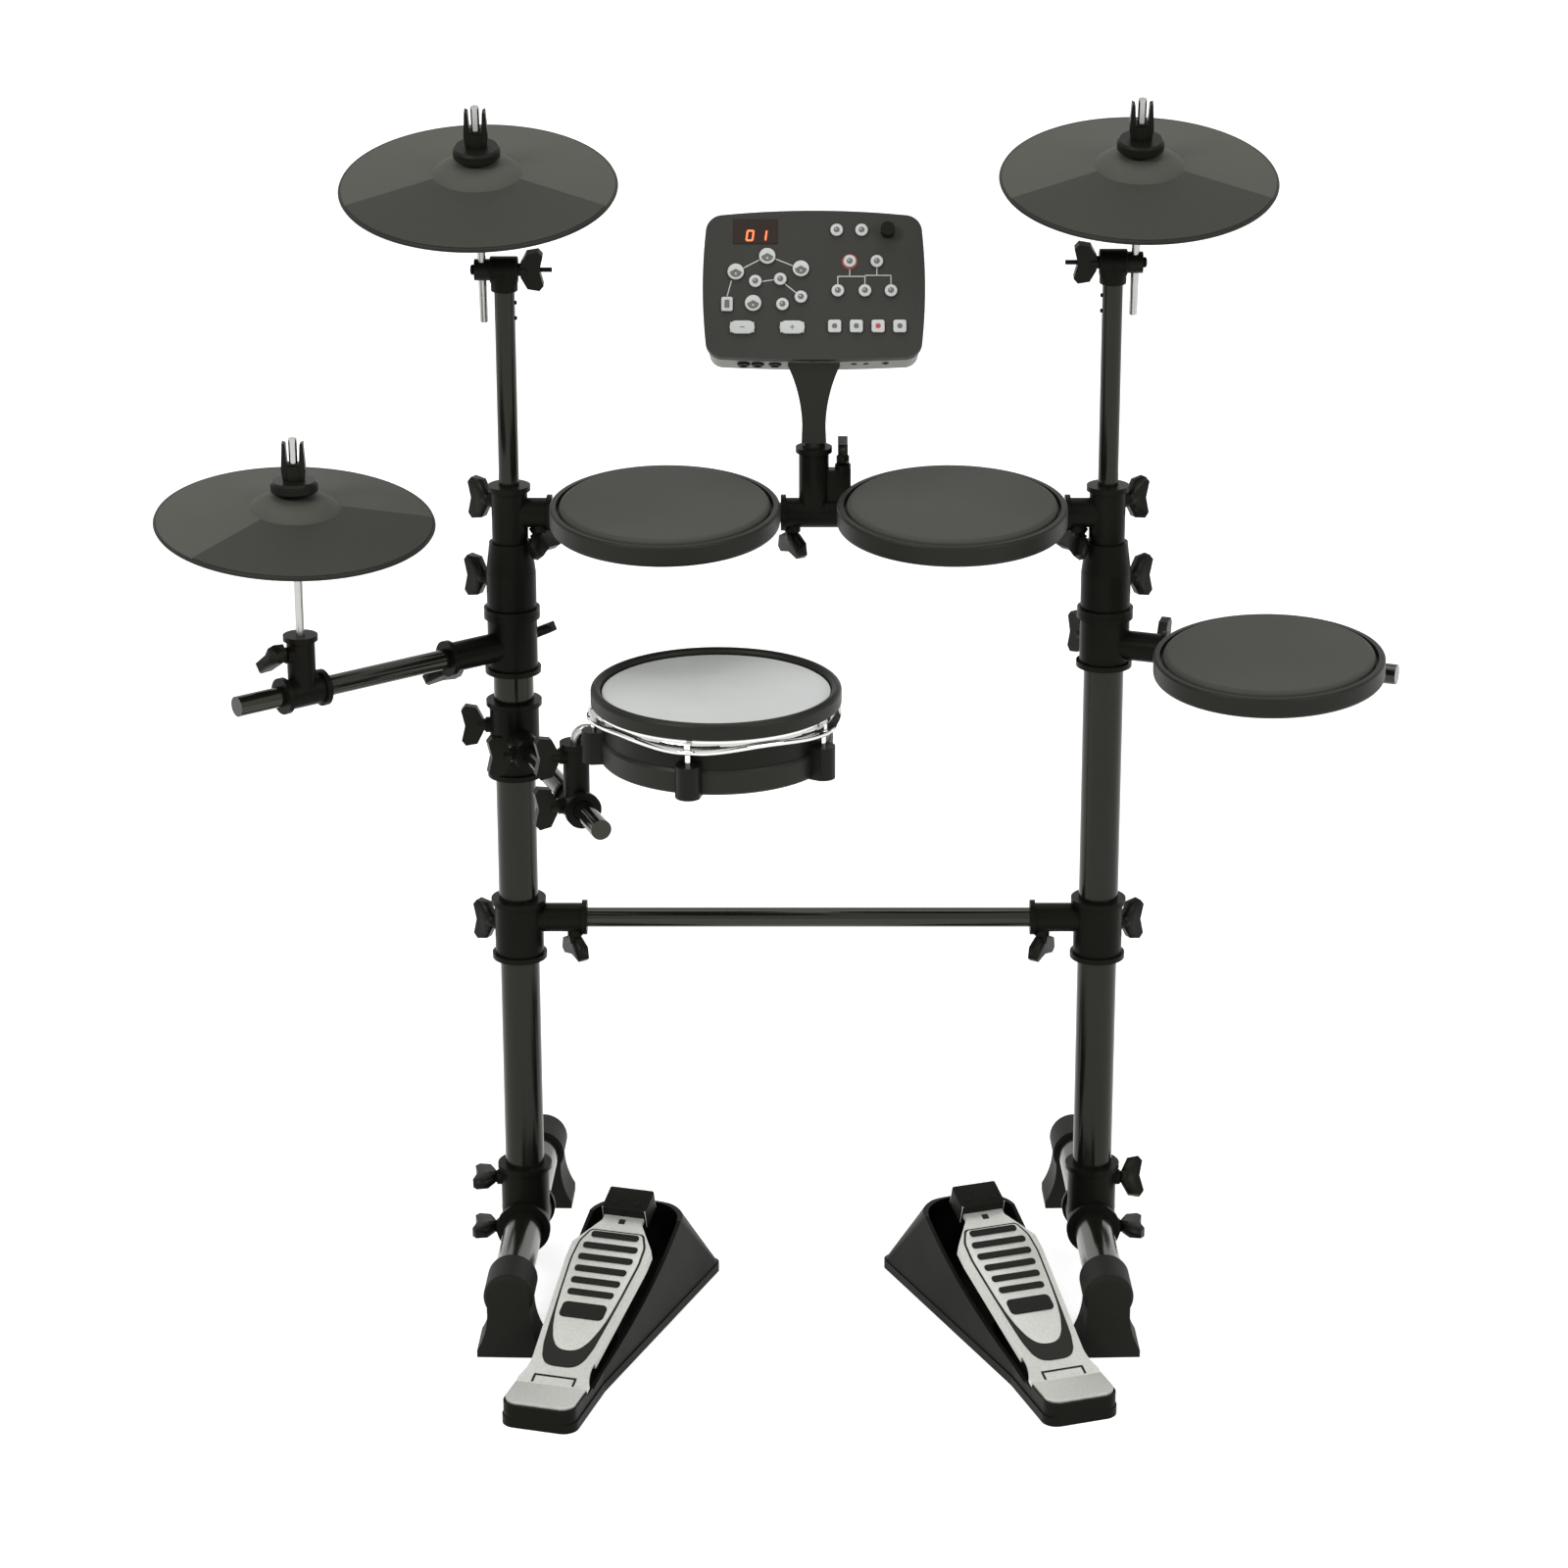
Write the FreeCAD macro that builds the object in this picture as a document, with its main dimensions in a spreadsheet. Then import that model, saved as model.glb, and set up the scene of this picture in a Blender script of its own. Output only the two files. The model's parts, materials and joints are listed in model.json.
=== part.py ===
import FreeCAD, Part
import math
import os

import Sketcher
from FreeCAD import Placement, Rotation, Vector

# Electronic drum kit on a two-column rack: three rubber cymbals, three rubber toms,
# a mesh snare, a sound module and two free-standing foot pedals.
# X points to the drummer's right, Y away from the drummer and Z up, in millimetres.
# Places below are measured from the floor point midway between the two columns.

SIZES = {
    # Where that floor point lies from the middle of the kit's footprint.
    "rack_shift_x": 21.7, "rack_shift_y": 68.9,
    # Fits: fixed tubes in their clamps, moving pieces and thin seats, and the overrun of a cutting tool.
    "tube_fit": 0.1, "running_gap": 0.35, "seat_gap": 0.2, "overrun": 10.0,
    # Columns and legs.
    "column_spacing": 560.0, "column_radius": 19.0, "column_wall": 2.0, "column_end_gap": 3.0, "column_top": 742.0,
    "leg_radius": 19.0, "leg_height": 62.0, "leg_front": 176.0, "leg_rear": 192.0, "leg_toe_out": 2.0,
    "foot_width": 62.0, "foot_depth": 48.0, "foot_wall": 5.0, "foot_end_wall": 8.0, "foot_sole": 7.0,
    # Clamp sleeves, and the bosses that take their wing bolts.
    "sleeve_wall": 4.5, "flange_rim": 3.0, "flange_height": 5.0, "socket_wall": 4.5,
    "leg_sleeve_length": 58.0, "leg_clamp_rise": 60.0, "leg_wing_drop": 4.0, "leg_wing_forward": 14.0,
    "boss_radius": 7.5, "boss_length": 9.0, "boss_reach": 4.0, "boss_inset": 12.0, "boss_drop": 17.0,
    # Slim tubes: crossbars, cymbal tubes and arms.
    "bar_radius": 9.5, "bar_wall": 1.5, "bar_cap": 4.0,
    "lower_bar_height": 381.0, "lower_tee_below": 40.0, "lower_tee_above": 21.0, "lower_socket_reach": 66.0,
    "collar_overlap": 51.0, "collar_neck": 18.0, "collar_taper": 12.0, "collar_boss_rise": 30.0,
    "collar_top_radius": 20.0, "bar_above_collar": 28.0, "tee_above_bar": 27.0, "tee_radius": 17.0,
    "upper_socket_reach": 40.0, "outer_wing_turn": 150.0,
    # Wing bolts.
    "wing_span": 40.0, "wing_height": 19.0, "wing_thick": 9.0, "wing_tip": 5.0, "wing_dip": 3.5, "wing_corner": 4.0,
    "wing_edge": 2.0, "wing_neck_radius": 6.0, "wing_neck_height": 4.0, "wing_shank_radius": 3.0,
    "wing_shank_length": 6.0,
    # Cymbals and their rods.
    "cymbal_radius": 127.0, "cymbal_thick": 5.0, "cymbal_drop": 13.0,
    "bell_radius": 41.0, "bell_rise": 12.0, "cymbal_hole_radius": 6.5,
    "rod_radius": 3.9, "rod_above": 164.0, "rod_below": 53.0, "cymbal_on_rod": 86.0,
    "washer_radius": 21.5, "washer_height": 11.0, "washer_edge": 2.0, "cymbal_nut_width": 22.0,
    "cymbal_nut_height": 36.0, "cymbal_nut_thick": 9.0, "cymbal_nut_foot": 11.0, "cymbal_nut_lip": 1.5,
    "cymbal_sleeve_radius": 5.6, "sleeve_flange_radius": 8.0, "sleeve_flange_height": 6.0, "bell_play": 2.8,
    "crash_rise": 205.0, "ride_rise": 212.0, "pivot_above_tube": 13.0, "stand_tail_rise": 44.0,
    "block_radius": 12.5, "block_skirt": 22.0, "barrel_length": 26.0, "eye_radius": 10.0, "eye_width": 14.0,
    "tilt_bolt_radius": 4.0, "cymbal_tilt": 14.5,
    # Hi-hat arm.
    "hat_arm_drop": 32.0, "hat_clamp_below": 27.0, "hat_arm_yaw": 38.0, "hat_arm_reach": 303.0,
    "hat_socket_reach": 76.0, "hat_rod_inset": 70.0, "hat_holder_rise": 55.0, "hat_holder_radius": 13.0,
    "hat_holder_length": 46.0, "hat_cymbal_rise": 107.0, "hat_rod_above": 78.0, "hat_rod_play": 10.0,
    "hat_tilt": 7.0, "hat_roll": 3.0, "hat_wing_turn": 202.0,
    # Snare drum.
    "clamp_spacing": 28.0, "snare_clamp_above": 38.0, "snare_clamp_below": 38.0, "snare_clamp_boss": 26.0,
    "snare_arm_yaw": 20.0, "snare_arm_reach": 274.0, "snare_socket_reach": 60.0, "snare_post_inset": 74.0,
    "snare_holder_radius": 12.0, "snare_holder_rise": 60.0, "snare_holder_length": 42.0,
    "snare_standoff": 28.4, "snare_turn": 58.1, "snare_post_radius": 4.75, "snare_post_rise": 13.0,
    "snare_post_bend": 11.0, "snare_post_foot": 6.0, "snare_post_drop": 45.0, "snare_socket_wall": 4.5,
    "snare_socket_length": 9.0, "snare_shell_radius": 103.0, "snare_shell_wall": 5.0, "snare_shell_depth": 63.0,
    "snare_floor": 3.0, "snare_edge": 3.0, "snare_hoop_wall": 2.0, "snare_hoop_height": 14.0,
    "snare_flange_rim": 11.0, "snare_flange_thick": 3.0, "snare_rim_wall": 8.8, "snare_rim_height": 15.0,
    "snare_rim_proud": 6.0, "snare_lug_radius": 11.0, "snare_lug_height": 30.0, "snare_lug_offset": 7.8,
    "snare_rod_radius": 2.6, "snare_rod_depth": 14.0, "snare_rod_head": 7.0, "snare_rod_collar": 2.0,
    "snare_head_thick": 1.2, "snare_bead_wall": 0.6, "snare_lugs": 5, "snare_lug_start": -102.0,
    # Rubber toms.
    "tom_radius": 106.0, "tom_depth": 23.0, "tom_wall": 4.0, "tom_pad_radius": 97.0, "tom_pad_depth": 9.0,
    "tom_rim_width": 6.0, "tom_rim_edge": 2.0, "tom_groove": 3.0, "tom_reach": 78.0, "tom_lift": 8.0,
    "tom_tilt": 5.0, "tom_x": 132.0, "tom_bracket_width": 52.0, "tom_bracket_wall": 5.0,
    "floor_bar_drop": 31.0, "floor_clamp_below": 22.0, "floor_bar_yaw": 20.0, "floor_bar_reach": 282.0,
    "floor_socket_reach": 62.0, "floor_tom_inset": 102.0, "floor_tom_tilt": 4.0, "floor_wing_turn": 145.0,
    # Sound module.
    "module_width": 200.0, "module_height": 136.0, "module_front_depth": 9.0, "module_rear_depth": 37.0,
    "module_lean": 30.0, "module_forward": 30.0, "module_rise": 13.0, "module_corner": 16.0,
    "module_bulge": 6.0, "module_wall": 3.0, "module_x": 5.0, "module_clamp_length": 62.0,
    "module_sleeve_radius": 14.0, "module_sleeve_rise": 64.0, "module_ear_offset": 27.0, "module_wing_offset": 20.0,
    "neck_radius": 10.5, "neck_flare": 24.0, "neck_stem": 6.0, "neck_flare_height": 74.0, "neck_end_gap": 2.0,
    "carrier_length": 70.0, "carrier_thick": 8.0, "key_travel": 1.5, "key_proud": 2.5, "key_root": 2.0,
    "knob_radius": 6.5, "knob_height": 11.0, "knob_spindle": 4.5, "display_width": 41.0, "display_height": 24.0,
    "display_depth": 3.0, "display_proud": 0.6, "large_key_radius": 6.0, "small_key_radius": 4.2,
    "square_key_side": 9.5, "step_key_length": 22.0, "jack_radius": 4.6, "plug_radius": 3.2, "jack_depth": 6.0,
    "pillar_radius": 4.0, "pillar_height": 8.0, "board_gap": 4.0, "board_sheet": 1.6,
    # Foot pedals.
    "pedal_length": 380.0, "pedal_heel_width": 74.0, "pedal_base_width": 128.0, "pedal_rim_width": 94.0,
    "pedal_rear_corner": 12.0, "pedal_rim_corner": 40.0, "pedal_rim_end": 340.0, "pedal_lip": 9.0,
    "pedal_lip_edge": 1.2,
    "heel_height": 23.0, "heel_length": 43.0, "heel_corner": 14.0, "heel_plate_thick": 3.0, "heel_plate_edge": 3.0,
    "pedal_wall": 4.0, "hood_height": 84.0, "hood_low": 17.0, "hood_start": 92.0, "hood_crest": 40.0,
    "hinge_y": 51.0, "hinge_z": 17.5, "hinge_clear": 2.0, "hinge_pin_radius": 3.0, "pin_end_cover": 2.0,
    "knuckle_radius": 6.0, "knuckle_width": 40.0, "board_thick": 4.0, "board_length": 258.0, "board_slope": 18.5,
    "board_press": 7.0, "board_heel_width": 70.0, "board_heel_lap": 4.0, "board_waist": 60.0,
    "board_waist_along": 36.0,
    "board_wide": 80.0, "board_shoulder": 188.0, "board_shoulder_length": 20.0, "board_taper": 34.0,
    "board_skirt": 7.0, "board_skirt_wall": 2.5, "board_toe_width": 40.0,
    "toe_block_length": 30.0, "toe_block_height": 13.0, "toe_block_lap": 2.0, "stop_radius": 12.0,
    "stop_along": 150.0,
    "pedal_clear": 1.5, "kick_forward": 132.0, "kick_yaw": 19.0, "hat_pedal_forward": 148.0, "hat_pedal_yaw": -16.0,
}

doc = FreeCAD.newDocument("electronic_drum_kit")
sheet = doc.addObject("Spreadsheet::Sheet", "dims")
for row, (alias, number) in enumerate(SIZES.items(), start=1):
    sheet.set(f"A{row}", str(number))
    sheet.setAlias(f"A{row}", alias)
doc.recompute()


class Size:
    """A number that keeps the sheet expression it was worked out from."""

    def __init__(self, value, text):
        self.value = float(value)
        self.text = text

    def __float__(self):
        return self.value

    def joined(self, other, sign, value):
        return Size(value, f"({self.text} {sign} {sized(other).text})")

    def __add__(self, other):
        return self.joined(other, "+", self.value + float(other))

    def __sub__(self, other):
        return self.joined(other, "-", self.value - float(other))

    def __mul__(self, other):
        return self.joined(other, "*", self.value * float(other))

    def __truediv__(self, other):
        return self.joined(other, "/", self.value / float(other))

    def __neg__(self):
        return Size(-self.value, f"(-{self.text})")

    def __radd__(self, other):
        return sized(other) + self

    def __rsub__(self, other):
        return sized(other) - self

    def __rmul__(self, other):
        return sized(other) * self


def sized(value):
    return value if isinstance(value, Size) else Size(value, f"({float(value)})")


class Sheet:
    """The cells of the sheet as sizes, by their alias."""

    def __getattr__(self, alias):
        return Size(sheet.get(alias), f"dims.{alias}")


d = Sheet()
UP = Vector(0, 0, 1)
RIGHT = Vector(1, 0, 0)
BACK = Vector(0, 1, 0)
NODES = {}


def vec(x, y, z):
    return Vector(float(x), float(y), float(z))


def bind(obj, prop, size):
    setattr(obj, prop, float(size))
    if isinstance(size, Size):
        obj.setExpression(prop, size.text)


def aim(direction, roll=0.0):
    """The turn that takes +Z to a direction, after a roll about +Z."""
    return Rotation(UP, direction) * Rotation(UP, roll)


def cylinder(radius, length, base=Vector(), direction=UP):
    rod = doc.addObject("Part::Cylinder", "rod")
    bind(rod, "Radius", sized(radius))
    bind(rod, "Height", sized(length))
    rod.Placement = Placement(base, aim(direction))
    return rod


def cone(radius_1, radius_2, length, base=Vector(), direction=UP):
    taper = doc.addObject("Part::Cone", "taper")
    bind(taper, "Radius1", sized(radius_1))
    bind(taper, "Radius2", sized(radius_2))
    bind(taper, "Height", sized(length))
    taper.Placement = Placement(base, aim(direction))
    return taper


def box(length, width, height, middle, turn=Rotation()):
    """A block centred on a point in X and Y, standing on it in Z."""
    block = doc.addObject("Part::Box", "block")
    bind(block, "Length", sized(length))
    bind(block, "Width", sized(width))
    bind(block, "Height", sized(height))
    corner = turn.multVec(vec(-0.5 * float(length), -0.5 * float(width), 0))
    block.Placement = Placement(middle + corner, turn)
    return block


def fuse(*pieces):
    joined = doc.addObject("Part::MultiFuse", "joined")
    joined.Shapes = list(pieces)
    joined.Refine = True
    return joined


def cut(base, *tools):
    carved = doc.addObject("Part::Cut", "carved")
    carved.Base = base
    carved.Tool = tools[0] if len(tools) == 1 else fuse(*tools)
    carved.Refine = True
    return carved


def tube(radius, wall, length, base, direction):
    bore = cylinder(radius - wall, length + 2, base - direction, direction)
    return cut(cylinder(radius, length, base, direction), bore)


def mirrored(piece):
    """The same piece on the other side of the rack's middle plane."""
    twin = doc.addObject("Part::Mirroring", "twin")
    twin.Source = piece
    twin.Base = Vector()
    twin.Normal = RIGHT
    return twin


def group(*pieces):
    together = doc.addObject("Part::Compound", "together")
    together.Links = list(pieces)
    return together


def arc_middle(start, end, radius, side):
    """The middle of an arc from start to end, to the left (1) or right (-1) of the way."""
    chord = end - start
    half = chord.Length / 2
    sagitta = radius - math.sqrt(max(radius * radius - half * half, 0.0))
    left = Vector(-chord.y, chord.x, 0).normalize()
    return (start + end) / 2 + left * (sagitta * side)


def outline(body, plane, points):
    """A closed sketch through points (x, y), or (x, y, radius, side) at the end of an arc."""
    sketch = body.newObject("Sketcher::SketchObject", "outline")
    origin_plane = [item for item in body.Origin.OriginFeatures if item.Role == plane][0]
    sketch.AttachmentSupport = [(origin_plane, "")]
    sketch.MapMode = "FlatFace"
    corners = [vec(point[0], point[1], 0) for point in points]
    ends = []
    for number, point in enumerate(points):
        start, end = corners[number - 1], corners[number]
        if len(point) == 2:
            index = sketch.addGeometry(Part.LineSegment(start, end), False)
            ends.append((index, 1, 2))
        else:
            middle = arc_middle(start, end, float(point[2]), point[3])
            index = sketch.addGeometry(Part.Arc(start, middle, end), False)
            ends.append((index, 2, 1) if point[3] > 0 else (index, 1, 2))
    for number, (index, first, last) in enumerate(ends):
        following = ends[(number + 1) % len(ends)]
        sketch.addConstraint(Sketcher.Constraint("Coincident", index, last, following[0], following[1]))
    for number, point in enumerate(points):
        index, first, last = ends[number]
        for axis, size in (("DistanceX", point[0]), ("DistanceY", point[1])):
            datum = sketch.addConstraint(Sketcher.Constraint(axis, -1, 1, index, last, float(size)))
            if isinstance(size, Size):
                sketch.setExpression(f"Constraints[{datum}]", size.text)
        if len(point) > 2:
            datum = sketch.addConstraint(Sketcher.Constraint("Radius", index, float(point[2])))
            if isinstance(point[2], Size):
                sketch.setExpression(f"Constraints[{datum}]", point[2].text)
    return sketch


def turned(points):
    """A body turned about Z from its half section (radius, height)."""
    body = doc.addObject("PartDesign::Body", "turned")
    sketch = outline(body, "XZ_Plane", points)
    spin = body.newObject("PartDesign::Revolution", "spin")
    spin.Profile = sketch
    spin.ReferenceAxis = (sketch, ["V_Axis"])
    spin.Angle = 360
    return body


def plate(points, thickness, plane="XY_Plane"):
    """A body raised from an outline by a thickness."""
    body = doc.addObject("PartDesign::Body", "plate")
    sketch = outline(body, plane, points)
    pad = body.newObject("PartDesign::Pad", "pad")
    pad.Profile = sketch
    bind(pad, "Length", sized(thickness))
    return body


def lofted(low_points, high_points, low, high):
    """A body ruled from an outline at one height to an outline of as many sides at another."""
    body = doc.addObject("PartDesign::Body", "lofted")
    sketches = []
    for points, height in ((low_points, low), (high_points, high)):
        sketch = outline(body, "XY_Plane", points)
        sketch.AttachmentOffset = Placement(vec(0, 0, height), Rotation())
        sketch.setExpression("AttachmentOffset.Base.z", sized(height).text)
        sketches.append(sketch)
    loft = body.newObject("PartDesign::AdditiveLoft", "loft")
    loft.Profile = sketches[0]
    loft.Sections = sketches[1:]
    loft.Ruled = True
    return body


def moved(obj, placement):
    obj.Placement = placement * obj.Placement
    return obj


RACK = Placement(vec(d.rack_shift_x, d.rack_shift_y, 0), Rotation())


def node(name, obj, placement=Placement()):
    """Name a finished sub-part and set it in its place on the kit."""
    obj.Label = name
    moved(obj, RACK * placement)
    NODES[name] = obj
    return obj


def wing_bolt():
    """A plastic wing bolt: bow-tie wings on a neck, with its shank pointing down."""
    half_span, tip, corner = d.wing_span / 2, d.wing_tip, d.wing_corner
    low, top = d.wing_neck_height / 2, d.wing_neck_height + d.wing_height
    shoulder = d.wing_neck_height + corner
    wings = plate([
        (-d.wing_neck_radius, low), (d.wing_neck_radius, low),
        (half_span - d.wing_edge, shoulder), (half_span, top - corner),
        (half_span - tip, top), (0, top - d.wing_dip), (tip - half_span, top),
        (-half_span, top - corner), (d.wing_edge - half_span, shoulder),
    ], d.wing_thick, "XZ_Plane")
    wings.Placement = Placement(vec(0, d.wing_thick / 2, 0), Rotation())
    neck = cylinder(d.wing_neck_radius, d.wing_neck_height + corner)
    shank = cylinder(d.wing_shank_radius, d.wing_shank_length + d.wing_neck_height, vec(0, 0, -d.wing_shank_length))
    return fuse(wings, neck, shank)


WING = wing_bolt()
doc.recompute()


def placed_copies(piece, placements):
    """Separate copies of a piece in one sub-part."""
    copies = doc.addObject("Part::Feature", "copies")
    copies.Shape = Part.makeCompound([piece.Shape.transformed(spot.Matrix) for spot in placements])
    return copies


def seat(point, direction, roll=0.0):
    """A wing bolt's place on its boss; at no roll its wings stand upright, or lie along X on an upright bolt."""
    span = RIGHT if abs(direction.z) > 0.5 else UP
    return Placement(point, Rotation(span, Vector(), direction, "ZXY") * Rotation(UP, roll))


def side_seat(radius, angle, height, roll=0.0):
    """A wing bolt's place on the side of an upright sleeve, by the angle about it."""
    way = Rotation(UP, float(angle)).multVec(RIGHT)
    return seat(way * float(radius + d.boss_reach) + UP * float(height), way, roll)


def mirror_seat(spot):
    way = spot.Rotation.multVec(UP)
    across = spot.Rotation.multVec(RIGHT)
    flip = Vector(-1, 1, 1)
    frame = Rotation(
        Vector(across.x * flip.x, across.y, across.z), Vector(), Vector(way.x * flip.x, way.y, way.z), "ZXY")
    return Placement(Vector(-spot.Base.x, spot.Base.y, spot.Base.z), frame)


def bosses(spots):
    return [cylinder(d.boss_radius, d.boss_length, spot.multVec(vec(0, 0, -d.boss_length)),
                     spot.Rotation.multVec(UP)) for spot in spots]


def bolt_holes(spots):
    depth = d.wing_shank_length + d.seat_gap
    return [cylinder(d.wing_shank_radius + d.tube_fit, depth + d.overrun, spot.multVec(vec(0, 0, -depth)),
                     spot.Rotation.multVec(UP)) for spot in spots]


def clamp(solids, bores, spots):
    """A moulded clamp: its sleeves and bosses, less its bores and bolt holes."""
    return cut(fuse(*solids, *bosses(spots)), *bores, *bolt_holes(spots))


def sleeve(radius, length, base, direction=UP, ends=(True, True)):
    """A sleeve with a raised ring at each end that has one."""
    rings = [cylinder(radius + d.flange_rim, d.flange_height, base + direction * shift, direction)
             for shift, wanted in ((0.0, ends[0]), (float(length - d.flange_height), ends[1])) if wanted]
    return [cylinder(radius, length, base, direction)] + rings


half = d.column_spacing / 2
LEFT = vec(-half, 0, 0)
column_sleeve = d.column_radius + d.sleeve_wall
bar_socket = d.bar_radius + d.socket_wall
bar_bore = d.bar_radius + d.tube_fit
stand_bore = d.bar_radius + d.running_gap
column_foot = d.leg_height + d.leg_radius + d.column_end_gap
leg_clamp_top = d.leg_height + d.leg_clamp_rise
collar_bottom = d.column_top - d.collar_overlap
collar_top = d.column_top + d.collar_neck
upper_bar_height = collar_top + d.bar_above_collar
tee_top = upper_bar_height + d.tee_above_bar
lower_tee_bottom = d.lower_bar_height - d.lower_tee_below
lower_tee_top = d.lower_bar_height + d.lower_tee_above
socket_under = bar_socket + d.boss_reach


def columns():
    left = tube(d.column_radius, d.column_wall, d.column_top - column_foot, LEFT + UP * float(column_foot), UP)
    return group(left, mirrored(left))


LEG = Placement(LEFT, Rotation(UP, -float(d.leg_toe_out)))


def leg_tubes():
    left = tube(d.leg_radius, d.column_wall, d.leg_front + d.leg_rear,
                vec(0, -d.leg_front, d.leg_height), BACK)
    moved(left, LEG)
    return group(left, mirrored(left))


leg_sleeve = d.leg_radius + d.sleeve_wall
LEG_SPOTS = [
    side_seat(column_sleeve, 180, leg_clamp_top - d.boss_drop, 40),
    seat(vec(-leg_sleeve - d.boss_reach, -d.leg_wing_forward, d.leg_height - d.leg_wing_drop), -RIGHT, 90),
]


def leg_clamps():
    upright = sleeve(column_sleeve, d.leg_clamp_rise, vec(0, 0, d.leg_height), UP, (False, True))
    lying = sleeve(leg_sleeve, d.leg_sleeve_length, vec(0, -d.leg_sleeve_length / 2, d.leg_height), BACK)
    bores = [
        cylinder(d.column_radius + d.tube_fit, leg_clamp_top, vec(0, 0, column_foot)),
        cylinder(d.leg_radius + d.tube_fit, d.leg_sleeve_length + d.overrun * 2,
                 vec(0, -d.leg_sleeve_length / 2 - d.overrun, d.leg_height), BACK),
    ]
    left = clamp(upright + lying, bores, LEG_SPOTS)
    moved(left, LEG)
    return group(left, mirrored(left))


def leg_foot():
    """A rubber boot: a capped sleeve for the leg's end over a flared sole."""
    cap_radius = d.leg_radius + d.foot_wall
    edge = d.foot_wall
    cap = turned([
        (0, 0), (cap_radius - edge, 0), (cap_radius, edge, edge * 1.05, -1),
        (cap_radius, d.foot_depth), (0, d.foot_depth),
    ])
    cap.Placement = Placement(vec(0, 0, d.leg_height), aim(BACK))
    waist, waist_height = cap_radius * 0.86, d.leg_height - cap_radius * 0.5
    skirt = plate([
        (-d.foot_width / 2, 0), (d.foot_width / 2, 0), (d.foot_width / 2, d.foot_sole),
        (waist, waist_height, d.leg_height * 1.2, 1), (waist, d.leg_height),
        (-waist, d.leg_height), (-waist, waist_height),
        (-d.foot_width / 2, d.foot_sole, d.leg_height * 1.2, 1),
    ], d.foot_depth, "XZ_Plane")
    skirt.Placement = Placement(vec(0, d.foot_depth, 0), Rotation())
    bore = cylinder(d.leg_radius + d.tube_fit, d.foot_depth, vec(0, d.foot_end_wall, d.leg_height), BACK)
    return cut(fuse(cap, skirt), bore)


def leg_feet():
    foot = leg_foot()
    doc.recompute()
    front = Placement(vec(0, -d.leg_front - d.foot_end_wall, 0), Rotation())
    rear = Placement(vec(0, d.leg_rear + d.foot_end_wall, 0), Rotation(UP, 180))
    right_leg = Placement(-LEFT, Rotation(UP, float(d.leg_toe_out)))
    return placed_copies(foot, [side * end for side in (LEG, right_leg) for end in (front, rear)])


def crossbar(height, clear):
    """A crossbar between the columns, short of each column's axis by a clearance."""
    reach = half - clear
    return tube(d.bar_radius, d.bar_wall, reach * 2, vec(-reach, 0, height), RIGHT)


lower_bar_clear = column_sleeve
upper_bar_clear = bar_socket
on_left = Placement(LEFT, Rotation())
LOWER_TEE_SPOTS = [
    on_left * side_seat(column_sleeve, d.outer_wing_turn, (lower_tee_bottom + lower_tee_top) / 2),
    seat(LEFT + vec(d.lower_socket_reach - d.boss_inset, 0, d.lower_bar_height - socket_under), -UP, 60),
]


def crossbar_tees():
    upright = sleeve(column_sleeve, lower_tee_top - lower_tee_bottom, LEFT + UP * float(lower_tee_bottom))
    arm = sleeve(bar_socket, d.lower_socket_reach, vec(-half, 0, d.lower_bar_height), RIGHT, (False, True))
    bores = [
        cylinder(d.column_radius + d.tube_fit, lower_tee_top, LEFT + UP * float(lower_tee_bottom - d.overrun)),
        cylinder(bar_bore, d.lower_socket_reach, vec(-half + lower_bar_clear, 0, d.lower_bar_height), RIGHT),
    ]
    left = clamp(upright + arm, bores, LOWER_TEE_SPOTS)
    return group(left, mirrored(left))


COLLAR_SPOTS = [on_left * side_seat(column_sleeve, d.outer_wing_turn, collar_bottom + d.collar_boss_rise)]


def top_collars():
    """Reducers on the column tops, tapering up to the top tees."""
    base, rim = collar_bottom, column_sleeve + d.flange_rim
    body = turned([
        (0, base), (rim, base), (rim, base + d.flange_height),
        (column_sleeve, base + d.flange_height), (column_sleeve, d.column_top - d.collar_taper),
        (d.collar_top_radius, collar_top), (0, collar_top),
    ])
    moved(body, on_left)
    bores = [
        cylinder(d.column_radius + d.tube_fit, d.collar_overlap + d.overrun, LEFT + UP * float(base - d.overrun)),
        cylinder(stand_bore, collar_top, LEFT + UP * float(base)),
    ]
    left = clamp([body], bores, COLLAR_SPOTS)
    return group(left, mirrored(left))


TOP_TEE_SPOTS = [
    on_left * side_seat(d.tee_radius, d.outer_wing_turn, tee_top - d.boss_drop),
    seat(LEFT + vec(d.upper_socket_reach - d.boss_inset, 0, upper_bar_height - socket_under), -UP, 82),
]


def top_tees():
    upright = sleeve(d.tee_radius, tee_top - collar_top, LEFT + UP * float(collar_top), UP, (False, True))
    arm = sleeve(bar_socket, d.upper_socket_reach, vec(-half, 0, upper_bar_height), RIGHT, (False, True))
    bores = [
        cylinder(stand_bore, tee_top, LEFT + UP * float(collar_top - d.overrun)),
        cylinder(bar_bore, d.upper_socket_reach, vec(-half + upper_bar_clear, 0, upper_bar_height), RIGHT),
    ]
    left = clamp(upright + arm, bores, TOP_TEE_SPOTS)
    return group(left, mirrored(left))


neck_bore_floor = upper_bar_height + bar_socket
module_sleeve_top = upper_bar_height + d.module_sleeve_rise
MODULE_SPOTS = [
    seat(vec(d.module_x + d.module_ear_offset, 0, module_sleeve_top - d.boss_drop), UP, 90),
    seat(vec(d.module_x - d.module_wing_offset, 0, upper_bar_height - socket_under), -UP, 60),
]


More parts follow.
